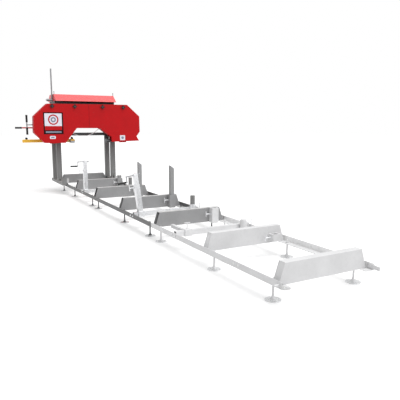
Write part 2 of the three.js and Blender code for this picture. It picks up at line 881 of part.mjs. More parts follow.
// Spindle with a pressing pad, a crank arm and a grip
function clampSpindle(lean) {
  const z = clamp_spindle_height - clampZ;
  const left = -clamp_spindle_left;
  const rod = bar('x', [0, z], clamp_spindle_radius, left, clamp_spindle_right, clamp_sides);
  const padEnd = clamp_spindle_right + clamp_pad_thickness;
  const pad = bar('x', [0, z], clamp_pad_radius, clamp_spindle_right - weld, padEnd, clamp_sides);
  const half = clamp_crank_width / 2;
  const crank = block(
    [left - clamp_crank_thickness, left + weld], [-half, half], [z - clamp_crank_length - half, z + half],
  );
  const stem = left - clamp_crank_thickness - clamp_grip_start;
  const low = [0, z - clamp_crank_length];
  const pin = bar('x', low, clamp_spindle_radius, stem - weld, left - weld, clamp_sides);
  const grip = bar('x', low, clamp_grip_radius, stem - clamp_grip_length, stem, clamp_sides);
  return leaning(joined(rod, pad, crank, pin, grip), lean);
}

[['A', clamp_a_x, clamp_a_lean, 0], ['B', clamp_b_x, clamp_b_lean, 1]].forEach(([letter, x, lean, row]) => {
  const group = new THREE.Group();
  group.position.set(x, crossbarY[row], clampZ);
  sawmill.add(group);
  place(`clamp_jaw_${letter}`, clampJaw(lean), zinc, group);
  place(`clamp_inner_tube_${letter}`, clampInner(lean), zinc, group);
  place(`clamp_crank_${letter}`, clampSpindle(lean), steel, group);
});

// The third clamp lies folded along the track
function foldedClamp() {
  const half = clamp_c_tube / 2;
  const start = clampSleeveHalf - weld;
  const tube = cut(
    block([-half, half], [start, start + clamp_c_length], [-half, half]),
    block(
      [-half + clamp_outer_wall, half - clamp_outer_wall],
      [start + clamp_outer_wall, start + clamp_c_length + overrun],
      [-half + clamp_outer_wall, half - clamp_outer_wall],
    ),
  );
  const top = clampSleeveHalf + screw_reach;
  const stem = bar('z', [0, 0], screw_radius, clampSleeveHalf - weld, top, screw_sides);
  const barEnd = screw_bar_length / 2;
  const handle = bar('x', [0, top], screw_bar_radius, -barEnd, barEnd, screw_sides);
  return joined(clampSleeve(), tube, stem, handle);
}

const foldedGroup = new THREE.Group();
foldedGroup.position.set(clamp_c_x, crossbarY[2], clampZ);
sawmill.add(foldedGroup);
place('clamp_jaw_C', foldedClamp(), pale_paint, foldedGroup);

// Carriage frame: four posts on two base beams, tied across the top
function post(x, y) {
  return squareTube('z', [x, y], post_size, post_wall, beam_top - weld, post_top);
}

function baseBeam(side) {
  const x = side * post_x;
  const z = beam_bottom + beam_height / 2;
  const half = beam_height / 2;
  const inner = half - beam_wall;
  const across = post_half - beam_wall;
  const outside = block([x - post_half, x + post_half], [beam_near_end, beam_far_end], [z - half, z + half]);
  const inside = block(
    [x - across, x + across], [beam_near_end - overrun, beam_far_end + overrun], [z - inner, z + inner],
  );
  return cut(outside, inside);
}

// Upright plate that closes the beam's near end and guards the wheel behind it
function beamPlate(side) {
  const span = [beam_near_end, beam_near_end + beam_plate_thickness];
  const plate = block(
    [side * (post_inner + weld), side * post_outer], span, [beam_bottom, beam_bottom + beam_plate_height],
  );
  const low = wheel_axle_z - wheel_guard_drop;
  const guard = block(
    [side * (post_inner - wheel_guard_width), side * (post_inner + 2 * weld)], span,
    [low, low + wheel_guard_height],
  );
  return joined(plate, guard);
}

function wheelBracket(side, y) {
  const face = side * (post_inner + weld);
  const back = side * (post_inner + wheel_bracket_thickness);
  const half = wheel_bracket_length / 2;
  const plate = block([face, back], [y - half, y + half], [beam_bottom, beam_top + wheel_bracket_rise]);
  const end = side * (wheel_x - wheel_width / 2);
  return joined(plate, bar('x', [y, wheel_axle_z], wheel_pin_radius, back, end, wheel_sides));
}

// Rod of a round section lying round a stadium in the (Y, Z) plane
function stadium(radius, lowZ, highZ, y) {
  const step = Math.PI / chain_arc_steps;
  const reach = radius / Math.cos(step / 2);
  const arc = (centre, start) => Array.from({ length: chain_arc_steps }, (_, index) => {
    const angle = start + (index + 1 / 2) * step;
    return [y + reach * Math.cos(angle), centre + reach * Math.sin(angle)];
  });
  return [...arc(highZ, 0), ...arc(lowZ, Math.PI)];
}

function chainGuide(side) {
  const inner = side * (post_x - chain_width / 2);
  const outer = side * (post_x + chain_width / 2 + 2 * slide_gap);
  const back = side * (post_x + chain_width / 2 + bearing_plate_thickness);
  const boss = bar('x', [lift_shaft_y, chain_bottom_z], sprocket_radius, inner, back, lift_shaft_sides);
  const start = near_post_y + post_half - weld;
  const plate = block(
    [outer, back], [start, lift_shaft_y + sprocket_radius],
    [chain_bottom_z - sprocket_radius, chain_bottom_z + sprocket_radius],
  );
  return joined(boss, plate);
}

function bearingPlate(side) {
  const span = [side * (post_outer - bearing_plate_thickness), side * post_outer];
  const plate = block(
    span, [near_post_y - post_half, far_post_y + post_half], [bearing_plate_bottom, bearing_plate_top],
  );
  const hole = bar(
    'x', [lift_shaft_y, lift_shaft_z], lift_shaft_radius + turn_gap, side * (post_inner - overrun),
    side * (post_outer + overrun), lift_shaft_sides,
  );
  return { plate, hole };
}

function gusset(side, y, way) {
  const foot = y + way * post_half;
  const outline = [
    [foot - way * weld, beam_top - weld], [foot + way * beam_gusset_height, beam_top - weld],
    [foot - way * weld, beam_top + beam_gusset_height],
  ];
  const middle = side * post_x;
  const half = beam_gusset_thickness / 2;
  return prism('x', outline, middle - half, middle + half);
}

function mast() {
  const parts = [];
  const holes = [];
  [-1, 1].forEach((side) => {
    parts.push(baseBeam(side), post(side * post_x, near_post_y), post(side * post_x, far_post_y));
    parts.push(wheelBracket(side, wheel_near_y), wheelBracket(side, wheel_far_y), chainGuide(side));
    parts.push(gusset(side, near_post_y, -1), gusset(side, far_post_y, 1), beamPlate(side));
    const bearing = bearingPlate(side);
    parts.push(bearing.plate);
    holes.push(bearing.hole);
  });
  [near_post_y, far_post_y].forEach((y) => {
    const half = mast_tie_depth / 2;
    const reach = post_inner + weld;
    const bottom = post_top - mast_tie_height;
    const inner = half - post_wall;
    const outside = block([-reach, reach], [y - half, y + half], [bottom, post_top]);
    const inside = block(
      [-reach - overrun, reach + overrun], [y - inner, y + inner], [bottom - overrun, post_top - post_wall],
    );
    parts.push(cut(outside, inside));
  });
  return cut(joined(...parts), ...holes);
}

place('carriage_mast', mast(), grey_paint);

function carriageWheel(side, y) {
  const half = wheel_width / 2;
  const groove = wheel_groove_width / 2;
  const slope = groove + wheel_groove_slope;
  const bore = wheel_pin_radius + turn_gap;
  const x = side * wheel_x;
  const profile = [
    [bore, x - half], [wheel_flange_radius, x - half], [wheel_flange_radius, x - slope],
    [wheel_groove_radius, x - groove], [wheel_groove_radius, x + groove],
    [wheel_flange_radius, x + slope], [wheel_flange_radius, x + half], [bore, x + half],
    [bore, x - half],
  ];
  return turned('x', [y, wheel_axle_z], profile, wheel_sides);
}

place('carriage_wheel_near_left', carriageWheel(-1, wheel_near_y), steel);
place('carriage_wheel_near_right', carriageWheel(1, wheel_near_y), steel);
place('carriage_wheel_far_left', carriageWheel(-1, wheel_far_y), steel);
place('carriage_wheel_far_right', carriageWheel(1, wheel_far_y), steel);

// Hood with a sloping front and back, open underneath
function hood() {
  const half = post_outer + fit_gap + hood_wall;
  const outline = [
    [hood_front_y, hood_bottom], [hood_front_y + hood_front_run, hood_top],
    [hood_rear_y - hood_front_run, hood_top], [hood_rear_y, hood_bottom],
  ];
  const hollow = inset(outline, hood_wall).map(([y, z]) => (
    z < (hood_bottom + hood_top) / 2 ? [y, hood_bottom - overrun] : [y, z]
  ));
  const shell = cut(
    prism('x', outline, -half, half), prism('x', hollow, -half + hood_wall, half - hood_wall),
  );
  const hole = bar(
    'x', [lift_shaft_y, lift_shaft_z], lift_shaft_radius + 2 * turn_gap, -half - overrun, 0,
    lift_shaft_sides,
  );
  const eyes = [-1, 1].map((side) => bar(
    'z', [side * (half - hood_eye_inset), hood_front_y + hood_front_run + hood_eye_inset], hood_eye_radius,
    hood_top - weld, hood_top + hood_eye_rise, screw_sides,
  ));
  return joined(cut(shell, hole), ...eyes);
}

place('mast_hood', hood(), red_paint);

// Lift shaft with a sprocket over each chain
function liftShaft() {
  const half = sprocket_width / 2;
  const left = lever_x - lever_hub_left;
  const right = post_outer - fit_gap;
  const profile = [[0, left], [lift_shaft_radius, left]];
  [-post_x, post_x].forEach((x) => {
    profile.push([lift_shaft_radius, x - half], [sprocket_radius, x - half]);
    profile.push([sprocket_radius, x + half], [lift_shaft_radius, x + half]);
  });
  profile.push([lift_shaft_radius, right], [0, right]);
  return turned('x', [lift_shaft_y, lift_shaft_z], profile, lift_shaft_sides);
}

function liftChain(side) {
  const low = side * post_x - chain_width / 2;
  const high = side * post_x + chain_width / 2;
  const outside = prism('x', stadium(chain_outer, chain_bottom_z, lift_shaft_z, lift_shaft_y), low, high);
  const inside = stadium(chain_inner, chain_bottom_z, lift_shaft_z, lift_shaft_y);
  return cut(outside, prism('x', inside, low - overrun, high + overrun));
}

// Lever: a hub on the shaft's end and a straight rod
function liftLever() {
  const left = lever_x - lever_hub_left;
  const right = lever_x + lever_hub_right;
  const hub = bar('x', [lift_shaft_y, lift_shaft_z], lever_hub_radius, left, right, lever_sides);
  const rod = bar('z', [lever_x, lift_shaft_y], lever_rod_radius, lift_shaft_z, lever_top, lever_sides);
  const bore = lift_shaft_radius + turn_gap;
  return cut(
    joined(hub, rod),
    bar('x', [lift_shaft_y, lift_shaft_z], bore, left - overrun, right + overrun, lift_shaft_sides),
  );
}

place('lift_shaft', liftShaft(), steel);
place('lift_chain_left', liftChain(-1), dark_paint);
place('lift_chain_right', liftChain(1), dark_paint);
place('lift_lever', liftLever(), steel);

// Saw head cover in two doors that meet in the middle
const coverPoint = ([across, up]) => [across * cover_half_width, cover_bottom + up * cover_height];
const coverOutline = [...cover_left_shares, ...cover_right_shares].map(coverPoint);

function barrelSpan(share) {
  const middle = share * cover_half_width;
  return [middle - hinge_barrel_length / 2, middle + hinge_barrel_length / 2];
}

function door(side, hingeShare) {
  const shell = cut(
    prism('y', coverOutline, cover_front_y, cover_back_y),
    prism('y', inset(coverOutline, cover_wall), cover_front_y + cover_wall, cover_back_y + overrun),
  );
  const away = -side * (cover_half_width + 2 * overrun);
  const gap = (side * cover_seam) / 2;
  const depth = [cover_front_y - overrun, cover_back_y + overrun];
  const otherHalf = block([gap, away], depth, [cover_bottom - overrun, cover_top + 2 * overrun]);
  const slot = block(
    [0, side * (band_wheel_x - hub_radius)], [blade_front_y - 2 * overrun, cover_back_y + overrun],
    [cover_bottom + blade_slot_bottom, cover_bottom + blade_slot_top],
  );
  const knobs = knob_place_shares.filter((share) => share * side > 0).map((share) => {
    const centre = [share * cover_half_width, cover_bottom + knob_height_share * cover_height];
    return bar('y', centre, knob_radius, cover_front_y - knob_depth, cover_front_y + weld, knob_sides);
  });
  const span = barrelSpan(hingeShare);
  const leaf = block(
    span, [hinge_y - hinge_pin_radius, cover_back_y],
    [hinge_z + hinge_pin_radius, cover_bottom + 2 * hinge_drop],
  );
  const barrel = bar('x', [hinge_y, hinge_z], hinge_barrel_radius, ...span, hinge_sides);
  const bore = bar(
    'x', [hinge_y, hinge_z], hinge_pin_radius + turn_gap, span[0] - overrun, span[1] + overrun, hinge_sides,
  );
  return cut(joined(cut(shell, otherHalf, slot), leaf, barrel, ...knobs), bore);
}

place('cover_door_left', door(-1, hinge_left_share), red_paint);
place('cover_door_right', door(1, hinge_right_share), red_paint);

// Band wheel: rim, thin web with round windows, and hub
function bandWheel(x, hubBack) {
  const bore = axle_radius + turn_gap;
  const webBack = wheel_front_y + band_wheel_web;
  const inner = band_wheel_radius - band_wheel_rim;
  const profile = [
    [bore, wheel_front_y], [band_wheel_radius, wheel_front_y], [band_wheel_radius, wheel_back_y],
    [inner, wheel_back_y], [inner, webBack], [band_wheel_hub, webBack], [hub_radius, hubBack],
    [bore, hubBack], [bore, wheel_front_y],
  ];
  const body = turned('y', [x, band_wheel_z], profile, band_wheel_sides);
  const middle = (inner + band_wheel_hub) / 2;
  const windows = Array.from({ length: band_wheel_windows }, (_, index) => {
    const angle = (index / band_wheel_windows) * 2 * Math.PI + Math.PI / 2;
    const centre = [x + middle * Math.cos(angle), band_wheel_z + middle * Math.sin(angle)];
    return bar(
      'y', centre, band_wheel_window_radius, wheel_front_y - overrun, wheel_back_y + overrun, window_sides,
    );
  });
  return cut(body, ...windows);
}

function driveWheel() {
  const centre = [band_wheel_x, band_wheel_z];
  const shaft = bar(
    'y', centre, drive_shaft_radius, wheel_front_y - axle_cap_depth, pulley_back_y, axle_sides,
  );
  const pulley = bar('y', centre, driven_pulley_radius, pulley_front_y, pulley_back_y, pulley_sides);
  return joined(bandWheel(band_wheel_x, hub_back_y), shaft, pulley);
}

place('band_wheel_left', bandWheel(-band_wheel_x, hub_back_y), steel);
place('band_wheel_right', driveWheel(), steel);

function bladeLoop() {
  const steps = band_wheel_sides / 2;
  const loop = (radius) => {
    const arc = (x, start) => Array.from({ length: steps + 1 }, (_, index) => {
      const angle = start + (index / steps) * Math.PI;
      return [x + radius * Math.cos(angle), band_wheel_z + radius * Math.sin(angle)];
    });
    return [...arc(band_wheel_x, -Math.PI / 2), ...arc(-band_wheel_x, Math.PI / 2)];
  };
  return cut(
    prism('y', loop(blade_outer_radius), blade_front_y, blade_back_y),
    prism('y', loop(blade_inner_radius), blade_front_y - overrun, blade_back_y + overrun),
  );
}

place('band_blade', bladeLoop(), steel);

// Guide: a block over the blade, a web behind it and a block under it
function bladeGuide(left) {
  const right = left + guide_width;
  const webFront = blade_back_y + guide_blade_gap;
  const front = blade_front_y + guide_front_inset;
  const over = block(
    [left, right], [front, webFront + guide_web],
    [blade_run_top + guide_blade_gap, blade_run_top + guide_top_height],
  );
  const under = block(
    [left, right], [front, webFront + guide_web],
    [blade_run_bottom - guide_under_height, blade_run_bottom - guide_blade_gap],
  );
  const web = block(
    [left, right], [webFront, webFront + guide_web],
    [blade_run_bottom - guide_under_height, blade_run_top + guide_top_height],
  );
  return joined(over, under, web);
}

function guideArm() {
  const top = arm_bottom + arm_height;
  const outside = block([arm_left, arm_right], [arm_front_y, arm_back_y], [arm_bottom, top]);
  const inside = block(
    [arm_left + arm_wall, arm_right + overrun], [arm_front_y + arm_wall, arm_back_y - arm_wall],
    [arm_bottom + arm_wall, top - arm_wall],
  );
  const centre = [arm_left + arm_knob_inset, (arm_front_y + arm_back_y) / 2];
  const knob = bar('z', centre, arm_knob_radius, top - weld, top + arm_knob_length, knob_sides);
  const guideLeft = arm_right - guide_width;
  const bridge = block(
    [guideLeft, arm_right], [blade_back_y + guide_blade_gap + weld, arm_front_y + arm_wall],
    [blade_run_bottom - guide_under_height, blade_run_top + guide_top_height],
  );
  return joined(cut(outside, inside), knob, bridge, bladeGuide(guideLeft));
}

place('blade_guide_arm', guideArm(), yellow_paint);

// Block that carries the left wheel's axle and slides behind the plate
function tensionBlock() {
  const body = block([block_left, block_right], [block_front_y, block_back_y], [block_bottom, block_top]);
  const centre = [-band_wheel_x, band_wheel_z];
  const capFront = wheel_front_y - fit_gap - axle_cap_depth;
  const axle = bar('y', centre, axle_radius, capFront, block_front_y + weld, axle_sides);
  const cap = bar('y', centre, axle_cap_radius, capFront, capFront + axle_cap_depth, axle_sides);
  const screwY = (block_front_y + block_back_y) / 2;
  const bore = bar(
    'x', [screwY, tension_screw_z], tension_screw_radius + turn_gap, block_left - overrun,
    tension_screw_end + overrun + tension_travel, axle_sides,
  );
  return cut(joined(body, axle, cap), bore);
}

function tensionHandle() {
  const y = (block_front_y + block_back_y) / 2;
  const screw = bar(
    'x', [y, tension_screw_z], tension_screw_radius, tension_handle_x, tension_screw_end, knob_sides,
  );
  const low = tension_screw_z - tension_handle_half;
  const high = tension_screw_z + tension_handle_half;
  const centre = [tension_handle_x, y];
  const spindle = bar('z', centre, tension_bar_radius, low, high, knob_sides);
  const lower = bar('z', centre, tension_grip_radius, low, low + tension_grip_length, knob_sides);
  const upper = bar('z', centre, tension_grip_radius, high - tension_grip_length, high, knob_sides);
  return joined(screw, spindle, lower, upper);
}

place('tension_block', tensionBlock(), steel);
place('tension_handle', tensionHandle(), steel);

// Head frame: back plate, cross tubes, sleeves on the posts, deck, guides and handles
function backPlate() {
  const plate = prism('y', inset(coverOutline, plate_inset), plate_front_y, plate_back_y);
  const halfSlot = axle_radius + 2 * turn_gap;
  const slot = block(
    [-band_wheel_x - halfSlot, -band_wheel_x + halfSlot + tension_travel],
    [plate_front_y - overrun, plate_back_y + overrun],
    [band_wheel_z - halfSlot, band_wheel_z + halfSlot],
  );
  const centre = [band_wheel_x, band_wheel_z];
  const boss = bar(
    'y', centre, bearing_radius, plate_front_y - bearing_depth, plate_back_y + bearing_depth, axle_sides,
  );
  const bore = bar(
    'y', centre, drive_shaft_radius + turn_gap, plate_front_y - bearing_depth - overrun,
    plate_back_y + bearing_depth + overrun, axle_sides,
  );
  return cut(joined(plate, boss), slot, bore);
}

function headTube(bottom) {
  const back = head_tube_back_y;
  const front = plate_back_y - weld;
  const reach = post_x + sleeve_outer;
  const wall = head_tube_wall;
  const outside = block([-reach, reach], [front, back], [bottom, bottom + head_tube_size]);
  const inside = block(
    [-reach - overrun, reach + overrun], [front + wall, back - wall],
    [bottom + wall, bottom + head_tube_size - wall],
  );
  return cut(outside, inside);
}

function postSleeve(x, y, from, to) {
  return squareTube('z', [x, y], 2 * sleeve_outer, head_sleeve_wall, from, to);
}

function headSide(side) {
  const x = side * post_x;
  const near = postSleeve(x, near_post_y, head_tube_low_z, head_tube_top);
  const far = postSleeve(x, far_post_y, head_tube_low_z, head_tube_low_z + far_sleeve_height);
  const armInner = side * (post_x - sleeve_outer);
  const armSpan = [near_post_y + sleeve_outer - weld, far_post_y - sleeve_outer + weld];
  const arm = block(
    [armInner, armInner + side * head_arm_width], armSpan,
    [head_tube_low_z, head_tube_low_z + head_tube_size],
  );
  const lugStart = near_post_y + sleeve_outer - weld;
  const lugEnd = lift_shaft_y - chain_outer - fit_gap;
  const lug = block(
    [x - chain_lug_width / 2, x + chain_lug_width / 2], [lugStart, lugEnd],
    [head_tube_low_z, head_tube_low_z + chain_lug_height],
  );
  return joined(near, far, arm, lug);
}

function engineDeck() {
  const start = post_x + sleeve_outer - weld;
  const span = [engine_front_y - 2 * overrun, far_post_y + sleeve_outer];
  return block([start, deck_right], span, [head_tube_low_z, deck_top]);
}

function armSleeve() {
  const gap = arm_gap;
  const wall = arm_sleeve_wall;
  const top = arm_bottom + arm_height;
  const right = arm_sleeve_left + arm_sleeve_length;
  const y = [arm_front_y - gap - wall, arm_back_y + gap + wall];
  const outside = block([arm_sleeve_left, right], y, [arm_bottom - gap - wall, top + gap + wall]);
  const hanger = block(
    [arm_sleeve_left, right], [arm_back_y + gap, arm_back_y + gap + wall], [top, head_tube_low_z + weld],
  );
  const inside = block(
    [arm_sleeve_left - overrun, right + overrun], [arm_front_y - gap, arm_back_y + gap],
    [arm_bottom - gap, top + gap],
  );
  return cut(joined(outside, hanger), inside);
}

function fixedGuide() {
  const span = [fixed_guide_x, fixed_guide_x + guide_width];
  const bottom = blade_run_bottom - guide_under_height;
  const riserFront = plate_back_y + slide_gap;
  const riserBack = riserFront + guide_web;
  const bridge = block(
    span, [blade_back_y + guide_blade_gap + weld, riserBack], [bottom, blade_run_top + guide_top_height],
  );
  const riser = block(span, [riserFront, riserBack], [bottom, head_tube_low_z + head_tube_wall]);
  return joined(bladeGuide(fixed_guide_x), bridge, riser);
}

function blockRails() {
  const span = [-block_rail_left, -block_rail_right];
  const y = [plate_back_y - weld, block_back_y];
  const low = block(span, y, [block_bottom - fit_gap - block_rail, block_bottom - fit_gap]);
  const high = block(span, y, [block_top + fit_gap, block_top + fit_gap + block_rail]);
  return joined(low, high);
}

function tensionBracket() {
  const y = (block_front_y + block_back_y) / 2;
  const left = -tension_bracket_left;
  const half = tension_bracket_half;
  const body = block(
    [left, left + tension_bracket_width], [plate_back_y - weld, y + half],
    [tension_screw_z - half, tension_screw_z + half],
  );
  const hole = bar(
    'x', [y, tension_screw_z], tension_screw_radius + turn_gap, left - overrun,
    left + tension_bracket_width + overrun, axle_sides,
  );
  return cut(body, hole);
}

function hingeLugs(share) {
  const span = barrelSpan(share);
  const radius = hinge_barrel_radius;
  const corner = radius * hinge_corner_share;
  const top = cover_bottom - slide_gap;
  const side = [
    [hinge_y - radius, hinge_z - radius], [plate_back_y, hinge_z - radius], [plate_back_y, top],
    [hinge_y, top], [hinge_y - corner, hinge_z + radius], [hinge_y - radius, hinge_z + corner],
  ];
  const z = [hinge_z - radius, cover_bottom + 2 * hinge_drop];
  const lugs = [[span[0], -1], [span[1], 1]].map(([x, way]) => {
    const near = x + way * slide_gap;
    const far = near + way * hinge_lug_thickness;
    const low = prism('x', side, Math.min(near, far), Math.max(near, far));
    const back = [plate_front_y, plate_back_y];
    return joined(low, block([near, far], back, z));
  });
  const reach = hinge_lug_thickness + slide_gap - weld;
  const pin = bar('x', [hinge_y, hinge_z], hinge_pin_radius, span[0] - reach, span[1] + reach, hinge_sides);
  return joined(...lugs, pin);
}

function pushHandle() {
  const start = -(post_x - sleeve_outer) - head_arm_width;
  const centre = [push_y, push_z];
  const rod = bar('x', centre, push_bar_radius, push_left, start + weld, screw_sides);
  const grip = bar('x', centre, push_grip_radius, push_left, push_left + push_grip_length, knob_sides);
  const plate = block(
    [start, start + head_arm_width], [push_y - push_plate_half, push_y + push_plate_half],
    [head_tube_low_z + head_tube_size - weld, push_z + push_plate_half],
  );
  return joined(rod, grip, plate);
}

// Water pipe that sags under the arch from the plate to the lower cross tube
class SaggingPipe extends THREE.Curve {
  getPoint(share, target = new THREE.Vector3()) {
    const left = pipe_left_share * cover_half_width;
    const right = pipe_right_share * cover_half_width;
    const start = head_tube_low_z + head_tube_size - 2 * pipe_radius;
    const end = cover_bottom + cover_left_shares[0][1] * cover_height + 2 * pipe_radius;
    const hang = pipe_sag * 4 * share * (1 - share);
    const y = plate_back_y - weld;
    return target.set(left + (right - left) * share, y, start + (end - start) * share - hang);
  }
}

function waterPipe() {
  const section = new THREE.Shape(
    circle([0, 0], pipe_radius, pipe_sides).map(([x, y]) => new THREE.Vector2(x, y)),
  );
  const path = { steps: pipe_steps, bevelEnabled: false, extrudePath: new SaggingPipe() };
  return solid(new THREE.ExtrudeGeometry(section, path));
}

place('head_frame', joined(
  backPlate(), headTube(head_tube_low_z), headTube(head_tube_high_z), headSide(-1), headSide(1),
  engineDeck(), armSleeve(), fixedGuide(), blockRails(), tensionBracket(), hingeLugs(hinge_left_share),
  hingeLugs(hinge_right_share), pushHandle(), waterPipe(),
), dark_paint);

// Engine: crankcase, finned cylinder, fuel tank, starter housing and muffler
function engine() {
  const y = [engine_front_y, engine_back_y - starter_depth];
  const bottom = deck_top + fit_gap;
  const top = bottom + engine_block_height;
  const crankcase = block([engine_left + tank_inset, engine_right - tank_inset], y, [bottom, top]);
  const middle = (engine_left + engine_right) / 2;
  const half = engine_cylinder_size / 2;
  const yMiddle = (y[0] + y[1]) / 2;
  const fins = Array.from({ length: engine_fin_count }, (_, index) => {
    const z = (engine_cylinder_height * (index + 1)) / (engine_fin_count + 1) + half;
    const reach = half + engine_fin_reach;
    const rise = engine_fin_thickness / 2;
    return block([-reach, reach], [-reach, reach], [z - rise, z + rise]);
  });
  const cylinder = joined(block([-half, half], [-half, half], [0, engine_cylinder_height]), ...fins)
    .rotate([0, engine_cylinder_tilt, 0])
    .translate([middle, yMiddle, top - half]);
  const tankBottom = bottom + tank_lift;
  const tank = prism('y', inset([
    [engine_left, tankBottom], [engine_right, tankBottom],
    [engine_right, tankBottom + tank_height], [engine_left, tankBottom + tank_height],
  ], tank_inset), y[0] + tank_inset, y[1]);
  const neck = block(
    [engine_left + 2 * tank_inset, middle - half / 2], [y[0] + 2 * tank_inset, y[1] - tank_inset],
    [top - weld, tankBottom + 2 * tank_inset],
  );
  const starter = bar(
    'y', [middle, bottom + starter_radius + tank_inset], starter_radius, y[1] - weld, engine_back_y,
    pulley_sides,
  );
  const muffler = block(
    [engine_right - muffler_width, engine_right], [yMiddle, yMiddle + muffler_width],
    [top - weld, top + muffler_height],
  );
  const bore = bar(
    'y', [engine_shaft_x, engine_shaft_z], engine_shaft_radius + turn_gap, engine_front_y - overrun,
    engine_front_y + 2 * engine_shaft_radius, axle_sides,
  );
  return cut(joined(crankcase, cylinder, tank, neck, starter, muffler), bore);
}

function enginePulley() {
  const centre = [engine_shaft_x, engine_shaft_z];
  const disc = bar('y', centre, engine_pulley_radius, pulley_front_y, pulley_back_y, pulley_sides);
  const end = engine_front_y + 2 * engine_shaft_radius - slide_gap;
  return joined(disc, bar('y', centre, engine_shaft_radius, pulley_back_y - weld, end, axle_sides));
}

// Belt: the loop that wraps both pulleys, with straight runs between its arcs
function driveBelt() {
  const dx = engine_shaft_x - band_wheel_x;
  const dz = engine_shaft_z - band_wheel_z;
  const distance = Math.hypot(dx, dz);
  const bearing = Math.atan2(dz, dx);
  const loop = (offset) => {
    const big = driven_pulley_radius + offset;
    const small = engine_pulley_radius + offset;
    const spread = Math.acos((big - small) / distance);
    const arc = (centre, radius, from, to, steps) => Array.from({ length: steps + 1 }, (_, index) => {
      const angle = from + ((to - from) * index) / steps;
      const reach = radius / Math.cos((to - from) / (2 * steps));
      return [centre[0] + reach * Math.cos(angle), centre[1] + reach * Math.sin(angle)];
    });
    const fullTurn = 2 * Math.PI;
    return [
      ...arc([band_wheel_x, band_wheel_z], big, bearing + spread, bearing + fullTurn - spread, pulley_sides),
      ...arc([engine_shaft_x, engine_shaft_z], small, bearing - spread, bearing + spread, pulley_sides / 2),
    ];
  };
  const middle = (pulley_front_y + pulley_back_y) / 2;
  const half = belt_width / 2;
  return cut(
    prism('y', loop(belt_gap + belt_thickness), middle - half, middle + half),
    prism('y', loop(belt_gap), middle - half - overrun, middle + half + overrun),
  );
}

place('engine', engine(), black_plastic);
place('engine_pulley', enginePulley(), steel);
place('drive_belt', driveBelt(), rubber);

// The origin is the middle of the underside of the whole machine at rest
sawmill.updateMatrixWorld(true);
const extent = new THREE.Box3().setFromObject(sawmill, true);
const middle = extent.getCenter(new THREE.Vector3());
sawmill.position.set(-middle.x, -middle.y, -extent.min.z);

export default sawmill;
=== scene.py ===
"""Portable band sawmill: finished pieces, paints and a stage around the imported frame.

Lengths in the making functions are millimetres on the machine's own lines: X across the track from
its middle, Y along it from its middle, Z up from the ground.
"""
import math

import bmesh
import bpy
from bpy.props import FloatProperty, FloatVectorProperty, PointerProperty
from mathutils import Matrix, Vector


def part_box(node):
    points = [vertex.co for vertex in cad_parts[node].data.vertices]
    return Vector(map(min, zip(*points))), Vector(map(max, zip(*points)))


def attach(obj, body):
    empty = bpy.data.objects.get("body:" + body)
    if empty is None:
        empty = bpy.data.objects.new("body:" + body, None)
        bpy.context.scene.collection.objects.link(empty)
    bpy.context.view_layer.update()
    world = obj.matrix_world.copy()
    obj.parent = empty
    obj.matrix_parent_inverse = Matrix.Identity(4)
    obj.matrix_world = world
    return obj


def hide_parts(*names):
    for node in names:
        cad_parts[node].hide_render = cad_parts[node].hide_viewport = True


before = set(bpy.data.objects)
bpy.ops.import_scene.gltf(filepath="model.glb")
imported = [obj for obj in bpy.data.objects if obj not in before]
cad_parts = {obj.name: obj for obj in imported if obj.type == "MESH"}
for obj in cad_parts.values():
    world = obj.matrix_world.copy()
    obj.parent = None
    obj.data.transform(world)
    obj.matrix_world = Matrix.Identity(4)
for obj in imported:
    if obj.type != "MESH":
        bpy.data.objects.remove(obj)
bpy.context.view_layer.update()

bl_info = {
    "name": "Portable band sawmill",
    "version": (1, 0, 0),
    "blender": (4, 5, 0),
    "location": "View3D > Sidebar > Sawmill",
    "description": "Builds the finished pieces of a portable band sawmill around its packed frame",
    "category": "Add Mesh",
}

MM = 0.001
MERGE = 2e-5
FLAT = math.radians(0.6)
ROUND_TURN = math.radians(55)
LEAST_TURN = math.radians(14)
SHARP = math.radians(50)
SHARP_REPEATED = math.radians(35)
Z_TO_Y = (math.radians(90), 0, 0)
TUBE_EDGE, CAST_EDGE = 0.003, 0.0015
ROUNDING_TRIES = (1.0, 0.6, 0.35, 0.0)
GENTLE_ROUNDING = 0.007
MOST_CHANGE = 0.05
MOST_SPILL = 0.0004

mast_low, mast_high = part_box("carriage_mast")
HOME = Vector(((mast_low.x + mast_high.x) / 2, mast_low.y - 2550 * MM, 0))

# Places that the pieces share, in millimetres
RAIL_OUTER = 450
RAIL_WALL = 6
POST_X, POST_HALF = 502, 40
POST_Y = (2900, 3240)
TRACK_WHEEL_Y = {"near": 2620, "far": 3220}
TRACK_WHEEL_Z = 212.3
SHAFT_Y, SHAFT_Z = 2982, 1640
SPROCKET_RADIUS = 21.2
CHAIN_LOW = 310
LEVER_X, LEVER_TOP = -560, 2182
HOOD_TOP = 1741
WHEEL_X, WHEEL_Z = 600, 1230
COVER_FRONT, COVER_BACK = 2650, 2797
COVER_LOW, COVER_HEIGHT = 897, 675
PLATE_BACK = 2804
BLADE_FRONT, BLADE_BACK = 2700, 2735
BLADE_RADIUS = 301.1
ENGINE_SHAFT = (800, 1150)
CYLINDER_FOOT = Vector((770, 3007.5, 1133.3))
CYLINDER_LEAN = Vector((math.sin(math.radians(25)), 0, math.cos(math.radians(25))))
STARTER = (770, 1153.3)
PUSH_BAR = (3070, 1155)
ARM_TOP = 960
CLAMP_Z = 173

# The photograph's viewpoint, worked out from the rails, feet and posts
CAMERA_PLACE = (-2401.3, -5627.4, 1233.4)
CAMERA_TURN = (29.08, -9.29, 0.17)
CAMERA_LENS = 41.92
CAMERA_SHIFT = 0.007

# Name, strength, turn in degrees and spread in degrees
LAMPS = (("overhead lamp", 1.75, (14, 14, 0), 50), ("front lamp", 0.6, (62, 0, 24), 40))


def at(x, y, z):
    """A place on the machine's own lines, as a place in the frame."""
    return HOME + Vector((x, y, z)) * MM


